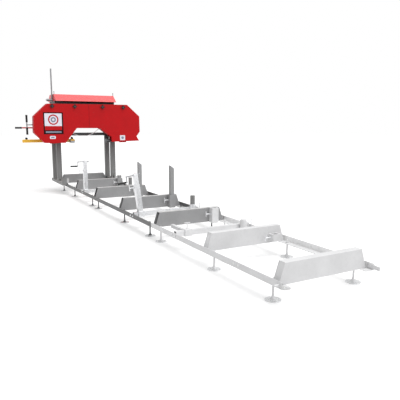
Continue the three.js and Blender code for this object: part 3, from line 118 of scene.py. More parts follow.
def on_machine(place):
    """A place in the frame, in millimetres on the machine's own lines."""
    return (place - HOME) / MM


def tint(red, green, blue):
    """A colour from its three screen values, 0 to 255."""
    def linear(value):
        value /= 255
        return value / 12.92 if value <= 0.04045 else ((value + 0.055) / 1.055) ** 2.4
    return (linear(red), linear(green), linear(blue))


def colour_property(name, description, *screen):
    """A colour that the user may change, from its three screen values."""
    return FloatVectorProperty(
        name=name, description=description, subtype="COLOR", min=0, max=1, default=tint(*screen))


def length_property(name, description, least, most, default):
    """A length that the user may change, in metres."""
    return FloatProperty(
        name=name, description=description, unit="LENGTH", subtype="DISTANCE", min=least, max=most,
        default=default)


class SawmillColours(bpy.types.PropertyGroup):
    """Colours of the machine's finishes"""
    red: colour_property("Cover red", "Powder coat of the doors and the back plate", 184, 13, 20)
    # The hood's red is lighter than the doors' red as a painted sheen on its sloping front.
    hood: colour_property("Hood red", "Powder coat of the hood over the lift shaft, with a painted sheen", 232, 64, 67)
    yellow: colour_property("Guide arm yellow", "Paint of the blade guide arm", 224, 174, 48)
    grey: colour_property("Track grey", "Paint of the bunks, rails and log stops", 152, 152, 153)
    rail: colour_property("Rail grey", "Paint of the rails of the two far sections", 112, 112, 113)
    mast: colour_property("Mast grey", "Paint of the carriage posts and beams", 82, 82, 83)
    pale: colour_property("Extension grey", "Paint of the pale track section", 224, 224, 225)
    black: colour_property("Frame black", "Paint of the head frame", 40, 40, 42)
    zinc: colour_property("Zinc", "Bright plating of the clamps and crossbars", 232, 233, 235)


class SawmillSizes(bpy.types.PropertyGroup):
    """Sizes of the machine's finer details"""
    edge: length_property(
        "Tube edge", "Rounding of the large tubes' edges", 0.0005, 0.01, 0.0045)
    sheet_edge: length_property(
        "Sheet fold", "Rounding of the folds in the cover sheets", 0.0005, 0.01, 0.004)
    chain_pitch: length_property(
        "Chain pitch", "Distance between the rollers of the lift chains", 0.005, 0.03, 0.0127)
    tooth_pitch: length_property(
        "Tooth pitch", "Distance between the teeth of the band blade", 0.008, 0.05, 0.022)
    thread_pitch: length_property(
        "Thread pitch", "Distance between the ridges of a threaded rod", 0.001, 0.01, 0.004)


def sizes():
    return bpy.context.scene.sawmill_sizes


def colours():
    return bpy.context.scene.sawmill_colours


# Finishes

class NodeDesk:
    """Adds nodes to a tree; an input takes a plain value or another node's socket."""

    def __init__(self, tree):
        self.tree = tree

    def feed(self, socket, value):
        if isinstance(value, bpy.types.NodeSocket):
            self.tree.links.new(value, socket)
        else:
            socket.default_value = value

    def add(self, kind, inputs=None, **settings):
        node = self.tree.nodes.new(kind)
        for name, value in settings.items():
            setattr(node, name, value)
        for key, value in (inputs or {}).items():
            self.feed(node.inputs[key], value)
        return node

    def math(self, operation, first, second=0.0):
        return self.add("ShaderNodeMath", {0: first, 1: second}, operation=operation).outputs[0]

    def noise(self, place, scale, detail=3.0, rough=0.5):
        inputs = {"Vector": place, "Scale": scale, "Detail": detail, "Roughness": rough}
        return self.add("ShaderNodeTexNoise", inputs).outputs["Fac"]

    def spread(self, value, low, high, from_low=0.0, from_high=1.0):
        inputs = {0: value, 1: from_low, 2: from_high, 3: low, 4: high}
        return self.add("ShaderNodeMapRange", inputs).outputs[0]

    def mixed(self, share, first, second):
        """Two colours mixed, through the colour sockets of the mix node."""
        node = self.add("ShaderNodeMix", {0: share, 6: first, 7: second}, data_type="RGBA")
        return node.outputs[2]


def shade(colour, factor=1.0):
    return (*[min(1.0, channel * factor) for channel in colour], 1.0)


def new_finish(name):
    """A material with the desk that fills it and its first node, the place on the piece."""
    material = bpy.data.materials.new(name)
    material.use_nodes = True
    material.node_tree.nodes.clear()
    desk = NodeDesk(material.node_tree)
    return material, desk, desk.add("ShaderNodeTexCoord").outputs["Object"]


def close_finish(desk, bsdf_inputs, height, strength, distance):
    bump = desk.add(
        "ShaderNodeBump", {"Height": height, "Strength": strength, "Distance": distance})
    bsdf = desk.add("ShaderNodeBsdfPrincipled", {**bsdf_inputs, "Normal": bump.outputs[0]})
    desk.add("ShaderNodeOutputMaterial", {"Surface": bsdf.outputs[0]})


def painted(name, colour, roughness=0.42, coat=0.0, dust=0.25, chips=0.0, gloss=0.5, painted_shade_gradient=0.0):
    """Paint on metal: cloudy shade, orange-peel skin, dust on what faces up, small chips, and painted
    shade towards the top if asked.
    """
    material, desk, place = new_finish(name)
    cloud = desk.noise(place, 5.0, 4.0, 0.55)
    streak = desk.noise(place, 38.0, 3.0, 0.6)
    base = desk.mixed(desk.spread(cloud, 0.0, 1.0, 0.3, 0.7), shade(colour, 0.93), shade(colour, 1.05))
    base = desk.mixed(desk.spread(streak, 0.0, 0.22, 0.5, 0.75), base, shade(colour, 0.8))
    # Painted shade: the paint is paler low down and darker towards the top, where the head above shades
    # the posts.
    if painted_shade_gradient:
        height = desk.add("ShaderNodeSeparateXYZ", {0: place}).outputs[2]
        low = desk.spread(height, painted_shade_gradient, 0.0, 0.15, 1.25)
        base = desk.mixed(low, base, shade(tint(172, 172, 171)))
    up = desk.add("ShaderNodeSeparateXYZ", {0: desk.add("ShaderNodeNewGeometry").outputs["Normal"]})
    lying = desk.spread(up.outputs[2], 0.0, dust, 0.4, 1.0)
    lying = desk.math("MULTIPLY", lying, desk.spread(desk.noise(place, 17.0), 0.35, 1.0, 0.3, 0.7))
    base = desk.mixed(lying, base, shade(tint(216, 216, 215)))
    if chips:
        spot = desk.noise(place, 95.0, 2.0, 0.4)
        chipped = desk.spread(spot, 0.0, 1.0, 0.755 - chips, 0.775 - chips)
        base = desk.mixed(desk.math("MULTIPLY", chipped, 0.7), base, shade(tint(120, 112, 106)))
    rough = desk.spread(cloud, roughness - 0.06, roughness + 0.07, 0.3, 0.7)
    rough = desk.math("ADD", rough, desk.math("MULTIPLY", lying, 0.25))
    skin = desk.math("ADD", desk.noise(place, 420.0, 2.0), desk.math("MULTIPLY", cloud, 1.5))
    inputs = {"Base Color": base, "Roughness": rough, "Coat Weight": coat, "Coat Roughness": 0.18,
              "Specular IOR Level": gloss}
    close_finish(desk, inputs, skin, 0.16, 0.0006)
    return material


def plated(name, colour, roughness=0.34, metallic=0.75, spangle=70.0):
    """Zinc plating: pale, with crystal spangles that differ a little in shade and gloss."""
    material, desk, place = new_finish(name)
    crystal = desk.add("ShaderNodeTexVoronoi", {"Vector": place, "Scale": spangle, "Randomness": 1.0})
    facet = desk.add("ShaderNodeSeparateColor", {0: crystal.outputs["Color"]}).outputs[0]
    cloud = desk.noise(place, 9.0, 3.0, 0.6)
    base = desk.mixed(facet, shade(colour, 0.88), shade(colour, 1.04))
    base = desk.mixed(desk.spread(cloud, 0.0, 0.35, 0.45, 0.75), base, shade(colour, 0.7))
    rough = desk.spread(facet, roughness - 0.05, roughness + 0.1)
    height = desk.math("ADD", facet, desk.noise(place, 300.0))
    close_finish(
        desk, {"Base Color": base, "Roughness": rough, "Metallic": metallic}, height, 0.06, 0.0005)
    return material


def machined(name, colour, roughness=0.33, metallic=0.85, stretch=(1.0, 1.0, 14.0)):
    """Turned or drawn steel: fine lines, a few oil stains and dull spots."""
    material, desk, place = new_finish(name)
    lines = desk.add("ShaderNodeMapping", {"Vector": place, "Scale": stretch}).outputs[0]
    grain = desk.noise(lines, 130.0, 3.0, 0.65)
    stain = desk.noise(place, 14.0, 4.0, 0.6)
    base = desk.mixed(grain, shade(colour, 0.84), shade(colour, 1.08))
    base = desk.mixed(desk.spread(stain, 0.0, 0.5, 0.55, 0.8), base, shade(tint(96, 88, 80)))
    rough = desk.spread(stain, roughness - 0.06, roughness + 0.16, 0.3, 0.75)
    close_finish(
        desk, {"Base Color": base, "Roughness": rough, "Metallic": metallic}, grain, 0.1, 0.0004)
    return material


def moulded(name, colour, roughness=0.55, grain=520.0, strength=0.3):
    """Moulded plastic or rubber: leathery grain, scuffs that turn it paler."""
    material, desk, place = new_finish(name)
    pore = desk.add("ShaderNodeTexVoronoi", {"Vector": place, "Scale": grain}).outputs["Distance"]
    scuff = desk.noise(place, 26.0, 5.0, 0.7)
    base = desk.mixed(desk.spread(scuff, 0.0, 0.5, 0.5, 0.8), shade(colour, 1.0), shade(colour, 2.4))
    rough = desk.spread(scuff, roughness - 0.08, roughness + 0.12, 0.3, 0.7)
    close_finish(desk, {"Base Color": base, "Roughness": rough}, pore, strength, 0.0004)
    return material


FINISHES = {}


def finish(name):
    """One of the machine's finishes, made at its first use."""
    if name in FINISHES:
        return FINISHES[name]
    c = colours()
    makers = {
        # Painted shade: a dark red for the shaded gap between the two doors.
        "seam": lambda: painted("painted door gap shade", tint(96, 16, 20), 0.6, dust=0.0, gloss=0.1),
        "red": lambda: painted("red powder coat", c.red, 0.5, dust=0.0, chips=0.004, gloss=0.16),
        "hood_red_painted_sheen": lambda: painted("hood powder coat with painted sheen", c.hood, 0.36, coat=0.35, dust=0.1),
        "yellow": lambda: painted("yellow paint", c.yellow, 0.42, coat=0.1, dust=0.1, chips=0.02),
        "grey": lambda: painted("bunk grey paint", c.grey, 0.46, dust=1.0, chips=0.01, gloss=0.4),
        "rail": lambda: painted("rail grey paint", c.rail, 0.46, dust=0.5, chips=0.015, gloss=0.3),
        # The mast's paint carries painted shade that darkens it towards the top.
        "mast": lambda: painted("mast grey paint with painted shade", c.mast, 0.5, dust=0.3, chips=0.012, gloss=0.3,
                                painted_shade_gradient=0.55),
        "guard": lambda: painted("wheel guard paint", tint(196, 196, 196), 0.46, dust=0.2),
        "pale": lambda: painted("pale grey paint", c.pale, 0.44, dust=0.1, gloss=0.4),
        "black": lambda: painted("black frame paint", c.black, 0.4, dust=0.12, chips=0.02),
        "zinc": lambda: plated("bright zinc", c.zinc),
        "foot_zinc": lambda: plated("zinc of the fasteners", tint(168, 169, 171), 0.36, 0.7, 240.0),
        "bright": lambda: plated("bright zinc", tint(232, 233, 234), 0.3, 0.6, 240.0),
        "disc": lambda: plated("bright foot disc", tint(238, 239, 240), 0.3, 0.55, 240.0),
        "rod": lambda: machined("foot rod steel", tint(104, 105, 107), 0.45, 0.5),
        "steel": lambda: machined("drawn steel", tint(176, 177, 180)),
        "dull": lambda: machined("dull rolled steel", tint(150, 151, 153), 0.5, 0.45),
        "turned": lambda: machined("turned steel", tint(160, 161, 165), 0.3, 0.9, (14.0, 1.0, 1.0)),
        "blade": lambda: machined("blade steel", tint(150, 152, 158), 0.28, 0.9, (12.0, 1.0, 12.0)),
        "chain": lambda: machined("oiled chain steel", tint(70, 68, 66), 0.42, 0.8),
        "cast": lambda: plated("cast aluminium", tint(168, 170, 172), 0.5, 0.7, 320.0),
        "grip": lambda: moulded("grip rubber", tint(22, 22, 23), 0.7, 700.0, 0.4),
        "belt": lambda: moulded("belt rubber", tint(26, 25, 24), 0.75, 900.0, 0.45),
        "plastic": lambda: moulded("black moulded plastic", tint(24, 24, 26), 0.45, 600.0, 0.2),
        "shroud": lambda: painted("engine shroud enamel", tint(48, 50, 54), 0.35, coat=0.3, dust=0.1),
        "hot": lambda: machined("heat-tinted sheet", tint(128, 116, 104), 0.5, 0.8),
        "filter": lambda: moulded("air filter plastic", tint(34, 34, 36), 0.5, 420.0, 0.2),
        "hose": lambda: moulded("pale water pipe", tint(236, 237, 236), 0.4, 500.0, 0.15),
        "knob": lambda: moulded("black knob plastic", tint(10, 10, 11), 0.6, 600.0, 0.2),
        # Lit and shaded copies of the pale paint: painted shade for faces towards the front, painted
        # light for the right rail's inner face.
        "pale_painted_shade": lambda: painted("pale paint with painted shade", tint(210, 210, 211), 0.46, gloss=0.3),
        "pale_painted_light": lambda: painted("pale paint with painted light", tint(250, 250, 250), 0.44, gloss=0.4),
        "panel_dark": lambda: painted("panel frame ink", tint(34, 6, 10), 0.55, dust=0.0, gloss=0.1),
        "panel_pale": lambda: painted("panel field ink", tint(226, 224, 234), 0.3, coat=0.5, dust=0.0),
        "panel_grey": lambda: painted("panel grey ink", tint(120, 128, 146), 0.3, coat=0.5, dust=0.0),
    }
    FINISHES[name] = makers[name]()
    return FINISHES[name]


# Meshes

def ring_points(centre, radius, sides, turn=0.0):
    a, b = centre
    step = 2 * math.pi / sides
    return [
        (a + radius * math.cos(turn + step * k), b + radius * math.sin(turn + step * k))
        for k in range(sides)
    ]


def along(axis, pair, value):
    """A point from its place along an axis and the pair of its two other coordinates."""
    first, second = pair
    return {"x": (value, first, second), "y": (first, value, second), "z": (first, second, value)}[axis]


def wall(mesh, first, second):
    """Faces between two rings of as many vertices."""
    count = len(first)
    for k in range(count):
        n = (k + 1) % count
        mesh.faces.new((first[k], first[n], second[n], second[k]))


def oval(ends, steps):
    """The line of a belt round two wheels: a wheel's centre, and a cosine and sine on its rim."""
    turns = [(centre, start + math.pi * k / steps) for centre, start in ends for k in range(steps + 1)]
    return [(centre, math.cos(turn), math.sin(turn)) for centre, turn in turns]


def closed(line):
    """The edges that join a line of places and close it."""
    return [(k, (k + 1) % len(line)) for k in range(len(line))]


def both_sides(values, reach):
    """Each value less the reach, and plus it."""
    return [value + way for value in values for way in (-reach, reach)]


def outward(places):
    """Facings away from the machine's middle plane."""
    return [(math.copysign(1, x), 0, 0) for x, y, z in places]


class Form:
    """A mesh in the making, in millimetres on the machine's own lines."""

    def __init__(self, lean=None):
        self.mesh = bmesh.new()
        self.ink = 0
        self.lean = lean

    def take(self, part, edge=0.0, segments=2, turn=LEAST_TURN):
        """Adds a closed part after rounding its edges."""
        bmesh.ops.recalc_face_normals(part, faces=part.faces[:])
        if edge:
            sharp = [e for e in part.edges if len(e.link_faces) == 2 and e.calc_face_angle(0) > turn]
            bmesh.ops.bevel(
                part, geom=sharp, offset=edge, offset_type="OFFSET", segments=segments, profile=0.5,
                affect="EDGES", clamp_overlap=True)
        for face in part.faces:
            face.material_index = self.ink
        if self.lean:
            bmesh.ops.transform(part, matrix=self.lean, verts=part.verts[:])
        spare = bpy.data.meshes.new("spare")
        part.to_mesh(spare)
        part.free()
        self.mesh.from_mesh(spare)
        bpy.data.meshes.remove(spare)
        return self

    def prism(self, axis, points, start, end, edge=1.0, turn=LEAST_TURN):
        """An outline pushed along an axis."""
        part = bmesh.new()
        low = [part.verts.new(along(axis, pair, start)) for pair in points]
        high = [part.verts.new(along(axis, pair, end)) for pair in points]
        part.faces.new(low)
        part.faces.new(high)
        wall(part, low, high)
        return self.take(part, edge, turn=turn)

    def turned(self, axis, centre, profile, steps=40, base=0, way=1):
        """A turned part: (radius, place) pairs, from axis to axis or closed.

        The places run along the axis from the base, forwards or, with way -1, backwards.
        """
        part = bmesh.new()
        rings = []
        for radius, reach in profile:
            place = base + way * reach
            if radius <= 0:
                rings.append([part.verts.new(along(axis, centre, place))])
            else:
                pairs = ring_points(centre, radius, steps)
                rings.append([part.verts.new(along(axis, pair, place)) for pair in pairs])
        pairs = list(zip(rings, rings[1:]))
        if len(rings[0]) > 1:
            pairs.append((rings[-1], rings[0]))
        for first, second in pairs:
            for k in range(steps):
                n = (k + 1) % steps
                loop = [first[k % len(first)], first[n % len(first)]]
                loop += [second[n % len(second)], second[k % len(second)]]
                loop = list(dict.fromkeys(loop))
                if len(loop) > 2:
                    part.faces.new(loop)
        return self.take(part)

    def rod(self, points, radius, sides=16, endless=False):
        """A round rod that follows a line of points; radius may be a list."""
        part = bmesh.new()
        path = [Vector(p) for p in points]
        count = len(path)
        radii = radius if isinstance(radius, (list, tuple)) else [radius] * count
        rings, side = [], None
        for k, place in enumerate(path):
            before = path[k - 1] if endless or k else path[k]
            after = path[(k + 1) % count] if endless or k < count - 1 else path[k]
            ahead = (after - before).normalized()
            if side is None:
                side = ahead.orthogonal().normalized()
            side = (side - ahead * side.dot(ahead)).normalized()
            other = ahead.cross(side)
            rings.append([
                part.verts.new(place + (side * math.cos(a) + other * math.sin(a)) * radii[k])
                for a in (2 * math.pi * s / sides for s in range(sides))
            ])
        for k in range(count if endless else count - 1):
            wall(part, rings[k], rings[(k + 1) % count])
        if not endless:
            part.faces.new(rings[0])
            part.faces.new(rings[-1])
        return self.take(part)

    def nut(self, axis, centre, radius, start, end, turn=0.0):
        """A hexagon nut with its corners turned off."""
        chamfer = min(1.6, abs(end - start) / 5)
        part = bmesh.new()
        rings = [
            [part.verts.new(along(axis, pair, place)) for pair in ring_points(centre, size, 6, turn)]
            for size, place in (
                (radius - 1.6 * chamfer, start), (radius, start + chamfer), (radius, end - chamfer),
                (radius - 1.6 * chamfer, end))
        ]
        for first, second in zip(rings, rings[1:]):
            wall(part, first, second)
        part.faces.new(rings[0])
        part.faces.new(rings[-1])
        return self.take(part, 0.5, 1)

    def placed(self, name):
        """The form as an object in the frame, its place in its mesh."""
        matrix = Matrix.Translation(HOME) @ Matrix.Scale(MM, 4)
        bmesh.ops.transform(self.mesh, matrix=matrix, verts=self.mesh.verts[:])
        data = bpy.data.meshes.new(name)
        self.mesh.to_mesh(data)
        self.mesh.free()
        return link(bpy.data.objects.new(name, data))


def link(piece):
    bpy.context.scene.collection.objects.link(piece)
    return piece


def plain_mesh(piece):
    """Turns a piece's live modifiers into its plain mesh."""
    bpy.context.view_layer.update()
    depsgraph = bpy.context.evaluated_depsgraph_get()
    data = bpy.data.meshes.new_from_object(
        piece.evaluated_get(depsgraph), preserve_all_data_layers=True, depsgraph=depsgraph)
    old = piece.data
    piece.modifiers.clear()
    piece.data = data
    data.name = piece.name
    if not old.users:
        bpy.data.meshes.remove(old)
    return piece


def smoothed(piece, angle=SHARP):
    """Smooth shading that keeps flat faces flat and hard edges hard."""
    piece.data.shade_smooth()
    piece.data.set_sharp_from_angle(angle=angle)
    normal = piece.modifiers.new("flat faces", "WEIGHTED_NORMAL")
    normal.keep_sharp = True
    normal.weight = 80
    return plain_mesh(piece)


def dressed(piece, finishes):
    for name in finishes:
        piece.data.materials.append(finish(name))
    return piece


def fit(piece, body, nodes=()):
    """Sets a piece on its body and lets it stand for its nodes."""
    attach(piece, body)
    if nodes:
        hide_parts(*nodes)
    return piece


def made(form, name, body, finishes, nodes=(), angle=SHARP):
    """A form as a finished piece, set on its body."""
    return fit(smoothed(dressed(form.placed(name), finishes), angle), body, nodes)


def cleaned(node, drop):
    """A copy of a node's mesh with whole faces; what drop names is taken off and closed."""
    mesh = bmesh.new()
    mesh.from_mesh(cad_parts[node].data)
    bmesh.ops.remove_doubles(mesh, verts=mesh.verts[:], dist=MERGE)
    if drop:
        gone = [v for v in mesh.verts if drop(*on_machine(v.co))]
        bmesh.ops.delete(mesh, geom=gone, context="VERTS")
        rims = [e for e in mesh.edges if len(e.link_faces) == 1]
        bmesh.ops.holes_fill(mesh, edges=rims, sides=0)
    bmesh.ops.dissolve_limit(
        mesh, angle_limit=FLAT, verts=mesh.verts[:], edges=mesh.edges[:], use_dissolve_boundaries=False)
    bmesh.ops.recalc_face_normals(mesh, faces=mesh.faces[:])
    return mesh


def gap(place, edge):
    """Distance from a place to an edge."""
    start, end = (vert.co for vert in edge.verts)
    line = end - start
    share = (place - start).dot(line) / max(line.length_squared, 1e-12)
    return (start + line * min(1.0, max(0.0, share)) - place).length


def edge_room(edge):
    """How far an edge can be rounded before it meets its neighbours."""
    start, end = (vert.co for vert in edge.verts)
    samples = [start.lerp(end, share) for share in (0.03, 0.25, 0.5, 0.75, 0.97)]
    room = 1.0
    for face in edge.link_faces:
        for other in face.edges:
            if other is edge:
                continue
            if set(other.verts) & set(edge.verts):
                room = min(room, 0.36 * other.calc_length())
                continue
            apart = [gap(place, other) for place in samples]
            apart += [gap(vert.co, edge) for vert in other.verts]
            room = min(room, 0.42 * min(apart))
    return room


def softened(node, name, body, finishes, edge=None, drop=None, pick=None, segments=2,
             split=False):
    """A node's shape with rounded edges; pick chooses a finish by a face's place and normal."""
    wanted = edge or sizes().edge
    mesh = cleaned(node, drop)
    if split:
        wide = [face for face in mesh.faces if len(face.verts) > 6 and face.calc_area() > 0.03]
        bmesh.ops.connect_verts_concave(mesh, faces=wide)
    if pick:
        for face in mesh.faces:
            face.material_index = pick(*on_machine(face.calc_center_median()), face.normal)
    before = mesh.calc_volume()
    widths = []
    for item in mesh.edges:
        turn = item.calc_face_angle(0) if len(item.link_faces) == 2 else 0
        limit = wanted if turn > ROUND_TURN else max(wanted, GENTLE_ROUNDING)
        widths.append(min(limit, edge_room(item)) if turn > LEAST_TURN else 0.0)
    data = bpy.data.meshes.new(name)
    piece = dressed(link(bpy.data.objects.new(name, data)), finishes)
    low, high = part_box(node)
    for share in ROUNDING_TRIES:
        layer = mesh.edges.layers.float.get("bevel_weight_edge")
        layer = layer or mesh.edges.layers.float.new("bevel_weight_edge")
        most = max(widths) or 1e-4
        for item, width in zip(mesh.edges, widths):
            item[layer] = share * width / most
        mesh.to_mesh(piece.data)
        rounding = piece.modifiers.new("rounding", "BEVEL")
        rounding.limit_method = "WEIGHT"
        rounding.width = most
        rounding.segments = segments
        rounding.use_clamp_overlap = False
        rounding.harden_normals = False
        plain_mesh(piece)
        test = bmesh.new()
        test.from_mesh(piece.data)
        change = abs(test.calc_volume() / before - 1)
        spill = max(
            max(low[k] - v.co[k], v.co[k] - high[k]) for v in test.verts for k in range(3))
        test.free()
        if (change < MOST_CHANGE and spill < MOST_SPILL) or not share:
            break
    mesh.free()
    return fit(smoothed(piece), body, (node,))


# Repeated shapes: trees of geometry nodes

class Repeat:
    """A tree that sets one small shape on points or along a path."""

    def __init__(self, name, finish_name):
        self.tree = bpy.data.node_groups.new(name, "GeometryNodeTree")
        for way in ("INPUT", "OUTPUT"):
            self.tree.interface.new_socket(
                name="Geometry", in_out=way, socket_type="NodeSocketGeometry")
        self.desk = NodeDesk(self.tree)
        self.entry = self.desk.add("NodeGroupInput")
        self.finish_name = finish_name
        self.given = {}

    def size(self, name, value, kind="NodeSocketFloat"):
        """A named input; its value is set on the modifier by the socket's identifier."""
        socket = self.tree.interface.new_socket(name=name, in_out="INPUT", socket_type=kind)
        self.given[socket.identifier] = value
        return self.entry.outputs[name]

    def moved(self, geometry, y=0.0, z=0.0, turn=(0, 0, 0), scale=(1, 1, 1)):
        shift = self.desk.add("ShaderNodeCombineXYZ", {1: y, 2: z}).outputs[0]
        inputs = {"Geometry": geometry, "Translation": shift, "Rotation": turn, "Scale": scale}
        return self.desk.add("GeometryNodeTransform", inputs).outputs[0]

    def cylinder(self, sides, radius, depth):
        inputs = {"Vertices": sides, "Radius": radius, "Depth": depth}
        return self.desk.add("GeometryNodeMeshCylinder", inputs).outputs["Mesh"]

    def cone(self, sides, top, bottom, depth):
        inputs = {"Vertices": sides, "Radius Top": top, "Radius Bottom": bottom, "Depth": depth}
        return self.desk.add("GeometryNodeMeshCone", inputs).outputs["Mesh"]

    def cube(self, x, y, z):
        size = self.desk.add("ShaderNodeCombineXYZ", {0: x, 1: y, 2: z}).outputs[0]
        return self.desk.add("GeometryNodeMeshCube", {"Size": size}).outputs["Mesh"]

    def together(self, *geometries):
        node = self.desk.add("GeometryNodeJoinGeometry")
        for geometry in geometries:
            self.tree.links.new(geometry, node.inputs[0])
        return node.outputs[0]

    def close(self, points, shape, rotation):
        inputs = {"Points": points, "Instance": shape, "Rotation": rotation}
        instances = self.desk.add("GeometryNodeInstanceOnPoints", inputs).outputs[0]
        real = self.desk.add("GeometryNodeRealizeInstances", {0: instances}).outputs[0]
        finished = self.desk.add(
            "GeometryNodeSetMaterial", {"Geometry": real, "Material": finish(self.finish_name)})
        self.desk.add("NodeGroupOutput", {0: finished.outputs[0]})

    def on_points(self, shape):
        """The shape stands on every point, its Z along the point's facing."""
        facing = self.desk.add(
            "GeometryNodeInputNamedAttribute", {"Name": "facing"}, data_type="FLOAT_VECTOR")
        rotation = self.desk.add(
            "FunctionNodeAlignRotationToVector", {"Vector": facing.outputs[0]}, axis="Z")
        self.close(self.entry.outputs["Geometry"], shape, rotation.outputs[0])

    def on_path(self, shape, count):
        """The shape follows the path's edges, its Z along the path."""
        curve = self.desk.add("GeometryNodeMeshToCurve", {0: self.entry.outputs["Geometry"]})
        inputs = {"Curve": curve.outputs[0], "Count": count}
        points = self.desk.add("GeometryNodeCurveToPoints", inputs, mode="COUNT")
        self.close(points.outputs["Points"], shape, points.outputs["Rotation"])


def run(repeat, name, places, edges=(), facings=None):
    """Runs a tree on a line or cloud of places and returns the plain piece."""
    data = bpy.data.meshes.new(name)
    data.from_pydata([at(*p) for p in places], list(edges), [])
    if facings:
        facing = data.attributes.new("facing", "FLOAT_VECTOR", "POINT")
        for item, value in zip(facing.data, facings):
            item.vector = value
    piece = link(bpy.data.objects.new(name, data))
    modifier = piece.modifiers.new(name, "NODES")
    modifier.node_group = repeat.tree
    for identifier, value in repeat.given.items():
        modifier[identifier] = value
    return plain_mesh(piece)


def seated(piece, body):
    """A repeated piece, shaded and set on its body with the finish its tree gave it."""
    piece.data.shade_smooth()
    piece.data.set_sharp_from_angle(angle=SHARP_REPEATED)
    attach(piece, body)
    return piece


def bolt_heads(name, body, places, facings, across=9.0, high=6.0, washer=12.0, look="foot_zinc"):
    """Hexagon bolt heads on washers."""
    tree = Repeat(name + " bolts", look)
    radius = tree.size("Head radius", across * MM)
    depth = tree.size("Head height", high * MM)
    plate = tree.size("Washer radius", washer * MM)
    thick = 1.6 * MM
    middle = tree.desk.math("ADD", tree.desk.math("MULTIPLY", depth, 0.5), thick * 0.9)
    head = tree.moved(tree.cylinder(6, radius, depth), z=middle)
    crown_base = tree.desk.math("ADD", depth, thick * 1.1)
    crown = tree.cone(6, tree.desk.math("MULTIPLY", radius, 0.8), radius, 1.2 * MM)
    crown = tree.moved(crown, z=crown_base)
    ring = tree.cylinder(16, plate, thick)
    ring = tree.moved(ring, z=thick / 2)
    tree.on_points(tree.together(head, crown, ring))
    return seated(run(tree, name, places, facings=facings), body)


def ridges(name, body, lines, radius, look, pitch=None, bite=0.6, sides=14):
    """Thread ridges or grip ribs along straight lines, each from one place to another."""
    tree = Repeat(name + " ridges", look)
    step = pitch or sizes().thread_pitch / MM
    outer = tree.size("Ridge radius", radius * MM)
    depth = tree.size("Ridge depth", step * 0.5 * MM)
    inner = tree.desk.math("SUBTRACT", outer, bite * MM)
    half = tree.desk.math("MULTIPLY", depth, 0.5)
    low = tree.moved(tree.cone(sides, outer, inner, half), z=tree.desk.math("MULTIPLY", depth, -0.5))
    high = tree.cone(sides, inner, outer, half)
    tree.on_points(tree.together(low, high))
    places, facings = [], []
    for start, end in lines:
        first, last = Vector(start), Vector(end)
        count = max(2, int((last - first).length / step))
        for k in range(count + 1):
            places.append(first.lerp(last, k / count))
            facings.append((last - first).normalized())
    return seated(run(tree, name, places, facings=facings), body)


# Track

BUNK_Y = {1: 3122.94, 2: 2117.73, 3: 1065.0, 4: -24.09, 5: -1123.03, 6: -2211.9, 7: -3193.02}
SLEEVES = {2: (325, 233), 3: (274, 233), 4: (285, 233), 5: (284, 233), 6: (288, 196.5)}
BUNK_HALF = 35
SLEEVE_BACK = BUNK_HALF + 34.3 - 0.5
CROSSBAR_Y = {"A": 1614.03, "B": -531.08, "C": -1642.5}
CROSSBAR_BOLT_Z = 158


def sleeve_screw(number):
    """Where a log stop's locking screw leaves its sleeve."""
    x, z = SLEEVES[number]
    return x - 42.5, BUNK_Y[number] - SLEEVE_BACK, z


def by_screw(off_y, off_z):
    """Whether a place that far from a locking screw's line is within its nut and bar."""
    return abs(off_y) < 12 and abs(off_z) < 40


def beside_sleeve(number):
    """A test for the locking screw beside a log stop's sleeve."""
    left, y, z = sleeve_screw(number)
    return lambda a, b, c: left - 75 < a < left - 0.1 and by_screw(b - y, c - z)


def t_screw(form, x, y, z, side):
    """Locking screw: welded nut, stem and a crossways bar with rounded ends."""
    end = x + side * 62
    form.nut("x", (y, z), 11, x, x + side * 9)
    form.rod([(x, y, z), (end, y, z)], 6, 20)
    form.rod([(end, y, z + rise) for rise in (-33, -31.5, 31.5, 33)], [3, 5, 5, 3], 16)


def rail_or_bunk(x, y, z, normal):
    """The rails are darker than the bunks between them."""
    return int(abs(x) > 396 and z < 184.6 and (abs(normal.y) < 0.5 or abs(x) > 428))


def pale_light_and_shade(x, y, z, normal):
    """The pale section takes painted shade on the faces towards the front and painted light on the
    right rail's inner face, which the lamps leave in shade.
    """
    if normal.y < -0.9:
        return 1
    return 2 if x > RAIL_OUTER - RAIL_WALL - 1 and normal.x < -0.9 else 0


def bunk_front(x, y, z, normal):
    """The near joint's bunk is pale in front only."""
    return int(y < BUNK_Y[5] - BUNK_HALF - 0.2)


# Node, piece, the bunk with the sleeve, slot, finishes, and what chooses among them
TRACK_PARTS = (
    ("track_section_1", "track_far", 2, "grey_paint", ("grey", "rail"), rail_or_bunk),
    ("track_section_2", "track_middle", 4, "grey_paint", ("grey", "rail"), rail_or_bunk),
    ("track_section_3", "track_near", 6, "pale_paint", ("pale", "pale_painted_shade", "pale_painted_light"),
     pale_light_and_shade),
    ("joint_bunk_3", "bunk_over_far_joint", 3, "grey_paint", ("grey",), None),
    ("joint_bunk_5", "bunk_over_near_joint", 5, "pale_paint", ("grey", "pale"), bunk_front),
)


